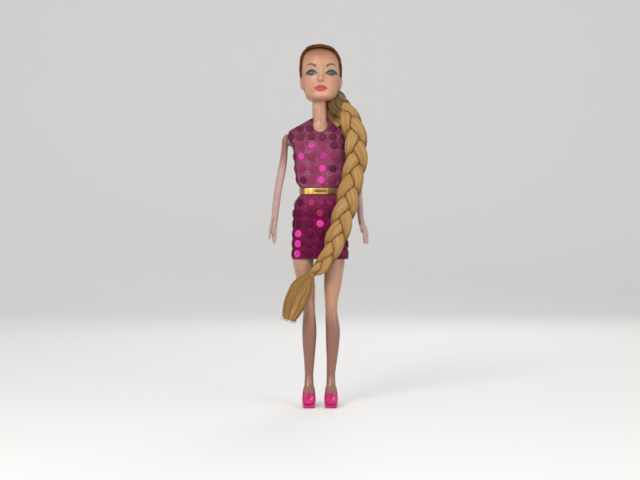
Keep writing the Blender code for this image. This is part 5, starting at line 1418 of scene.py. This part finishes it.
def make_shoe(side, name):
    """A pump: shaped sole, waist and heel under a thin upper with a scooped top line."""
    x, middle = side * 8.5, -1.6
    widths = smooth_curve(*zip(*SOLE_WIDE), [y for y, _ in SOLE])
    rings = [[(x + share * half, middle + (y - middle) * (1 - 0.1 * abs(share) ** 6), z)
              for (y, z), half in zip(SOLE, widths)] for share in np.linspace(-1, 1, 9)]
    count, total = len(SOLE), len(SOLE) * len(rings)
    ends = [tuple(range(count)), tuple(range(total - count, total))[::-1]]
    sole = build(name + "_shoe_sole", np.concatenate(rings), grid_faces(len(rings), count) + ends)
    modifier(sole, "BEVEL", width=0.35 * MM, segments=3, limit_method="ANGLE")
    apply_modifiers(sole, 35)
    use(sole, SHOE_PAINT)
    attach(sole, name + "_shin")
    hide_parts(name + "_shoe")

    foot = np.array(LEG_ROWS[-FOOT_ROWS:])
    foot[:, 0] *= side
    foot[:, 1] += BODY_Y
    foot[:, 3:6] += SHOE_GAP
    foot[-1, 1] -= TOE_GAP
    upper = build(name + "_shoe_upper", *tube(ring_points(dense(foot, 90), angles_of(64))))
    modifier(upper, "SOLIDIFY", thickness=SHOE_THICK * MM, offset=1)
    apply_modifiers(upper)
    cut_away(upper, [prism(outline, "X", x - 9, x + 9) for outline in (THROAT, ABOVE_ANKLE)], 40)
    use(upper, SHOE_PAINT)
    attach(upper, name + "_shin")


# Everything
make_stage()
# painted shade: the upper arms darker towards the shoulders, the shins darker below the knees
ARM_PAINT = skin_paint("arm_vinyl", (190, 157, 148), (177, 140, 130), ((148, 102, 88), 176.0, 198.0))
LEG_PAINT = skin_paint("leg_vinyl", (186, 139, 108), (172, 122, 92), ((142, 94, 76), 80.0, 60.0), 0.5)
EAR_PAINT = skin_paint("ear_vinyl", (188, 140, 118), (174, 124, 102))
ROOT_PAINT = hair_paint("combed_hair", ROOT_AND_SHADE_LIGHT, ROOT_AND_SHADE_DARK, (36, 18, 8))
# the gathered hair darker near the nape, partly painted shade, with gold laid over it further out
GATHER_PAINT = hair_paint("gathered_hair", NAPE_ROOT_AND_SHADE_LIGHT, NAPE_ROOT_AND_SHADE_DARK, NAPE_PAINTED_SHADE, (GOLD_LIGHT, GOLD_DARK),
                          lambda x, y, z: (x * 0.8 - (z - 229.0) * 0.6).ramp(12.0, 19.0))
BRAID_PAINT = hair_paint("braided_hair", GOLD_LIGHT, GOLD_DARK, GOLD_PAINTED_SHADE)
# the tail's gold painted darker than the braid's, a painted shade; its last colour is the painted shade
# where locks meet
TAIL_PAINT = hair_paint("tail_hair", (178, 138, 86), (136, 100, 50), (90, 62, 22))
BAND_PAINT = plastic_paint("elastic", (158, 126, 48), (134, 104, 34), 0.5)
TRIM_PAINT = plastic_paint("dress_trim", (104, 30, 62), (84, 20, 48), 0.7)
BODICE_PAINT = dress_paint("bodice_net", (160, 70, 108), (144, 58, 94), (190, 122, 152), (78, 30, 52),
                           (122, 46, 76), 196.0, 212.0, (226, 150, 200))
SKIRT_PAINT = dress_paint("skirt_net", (132, 6, 64), (92, 2, 44), (146, 46, 94), (62, 8, 36),
                          (150, 60, 98), 148.0, 163.0, (206, 100, 166))
SEQUIN_PAINT = sequin_paint()
BELT_PAINT = plastic_paint("gold_foil", (164, 124, 74), (132, 96, 52), 0.4, 0.3, 0.8)
BUCKLE_PAINT = plastic_paint("gold_plate", (248, 206, 110), (230, 184, 88), 0.28, 0.4, 0.8)
FRAME_PAINT = plastic_paint("gold_frame", (216, 170, 96), (192, 144, 82), 0.3, 0.4, 0.8)
TONGUE_PAINT = plastic_paint("tongue_foil", (140, 108, 36), (116, 86, 24), 0.4, 0.3, 0.8)
SHOE_PAINT = plastic_paint("shoe_gloss", (206, 26, 116), (190, 18, 100), 0.2)
INNER_PAINT = plastic_paint("inner_plastic_grain", (228, 222, 208), (216, 208, 192), 0.45)
AXLE_PAINT = plastic_paint("axle_plastic_grain", (216, 216, 212), (200, 200, 196), 0.4)
TAPE_PAINT = plastic_paint("closure_weave", (112, 22, 76), (84, 10, 54), 0.85, 0.0, 2.4)
LAP_PAINT = plastic_paint("closure_loops", (132, 36, 92), (100, 18, 66), 0.9, 0.0, 2.8)
STITCH_PAINT = plastic_paint("stitch_thread", (168, 74, 126), (146, 56, 106), 0.7, 0.0, 2.4)
TORSO_PAINT = plastic_paint("torso_vinyl", SKIN, SKIN_WARM, 0.38, 0.0, 0.9)

make_head()
for side, name in SIDES:
    make_ear(side, name)
make_hair_cap()
braid_path, braid_frames = make_braid()
make_gather(braid_path)
make_band(braid_path, braid_frames)
make_tail(braid_path, braid_frames)
bodice_rows, bodice, trims = make_bodice()
closure = make_closure(bodice_rows)
skirt_rows, skirt_halves = make_skirt()
sequins = make_sequins(bodice_rows, skirt_rows)
make_belt()
for side, name in SIDES:
    make_arm(side, name)
    make_leg(side, name)
    make_shoe(side, name)

CARRIED = {
    "torso_front": TORSO_PAINT, "torso_back": TORSO_PAINT, "neck_knob": INNER_PAINT,
    "hip_axle": AXLE_PAINT,
}
for _, prefix in SIDES:
    CARRIED[prefix + "_shoulder_peg"] = INNER_PAINT
    CARRIED[prefix + "_thigh_core"] = INNER_PAINT
    CARRIED[prefix + "_shin_core"] = INNER_PAINT
    CARRIED[prefix + "_knee_pin"] = AXLE_PAINT
for node, paint in CARRIED.items():
    use(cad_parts[node], paint)
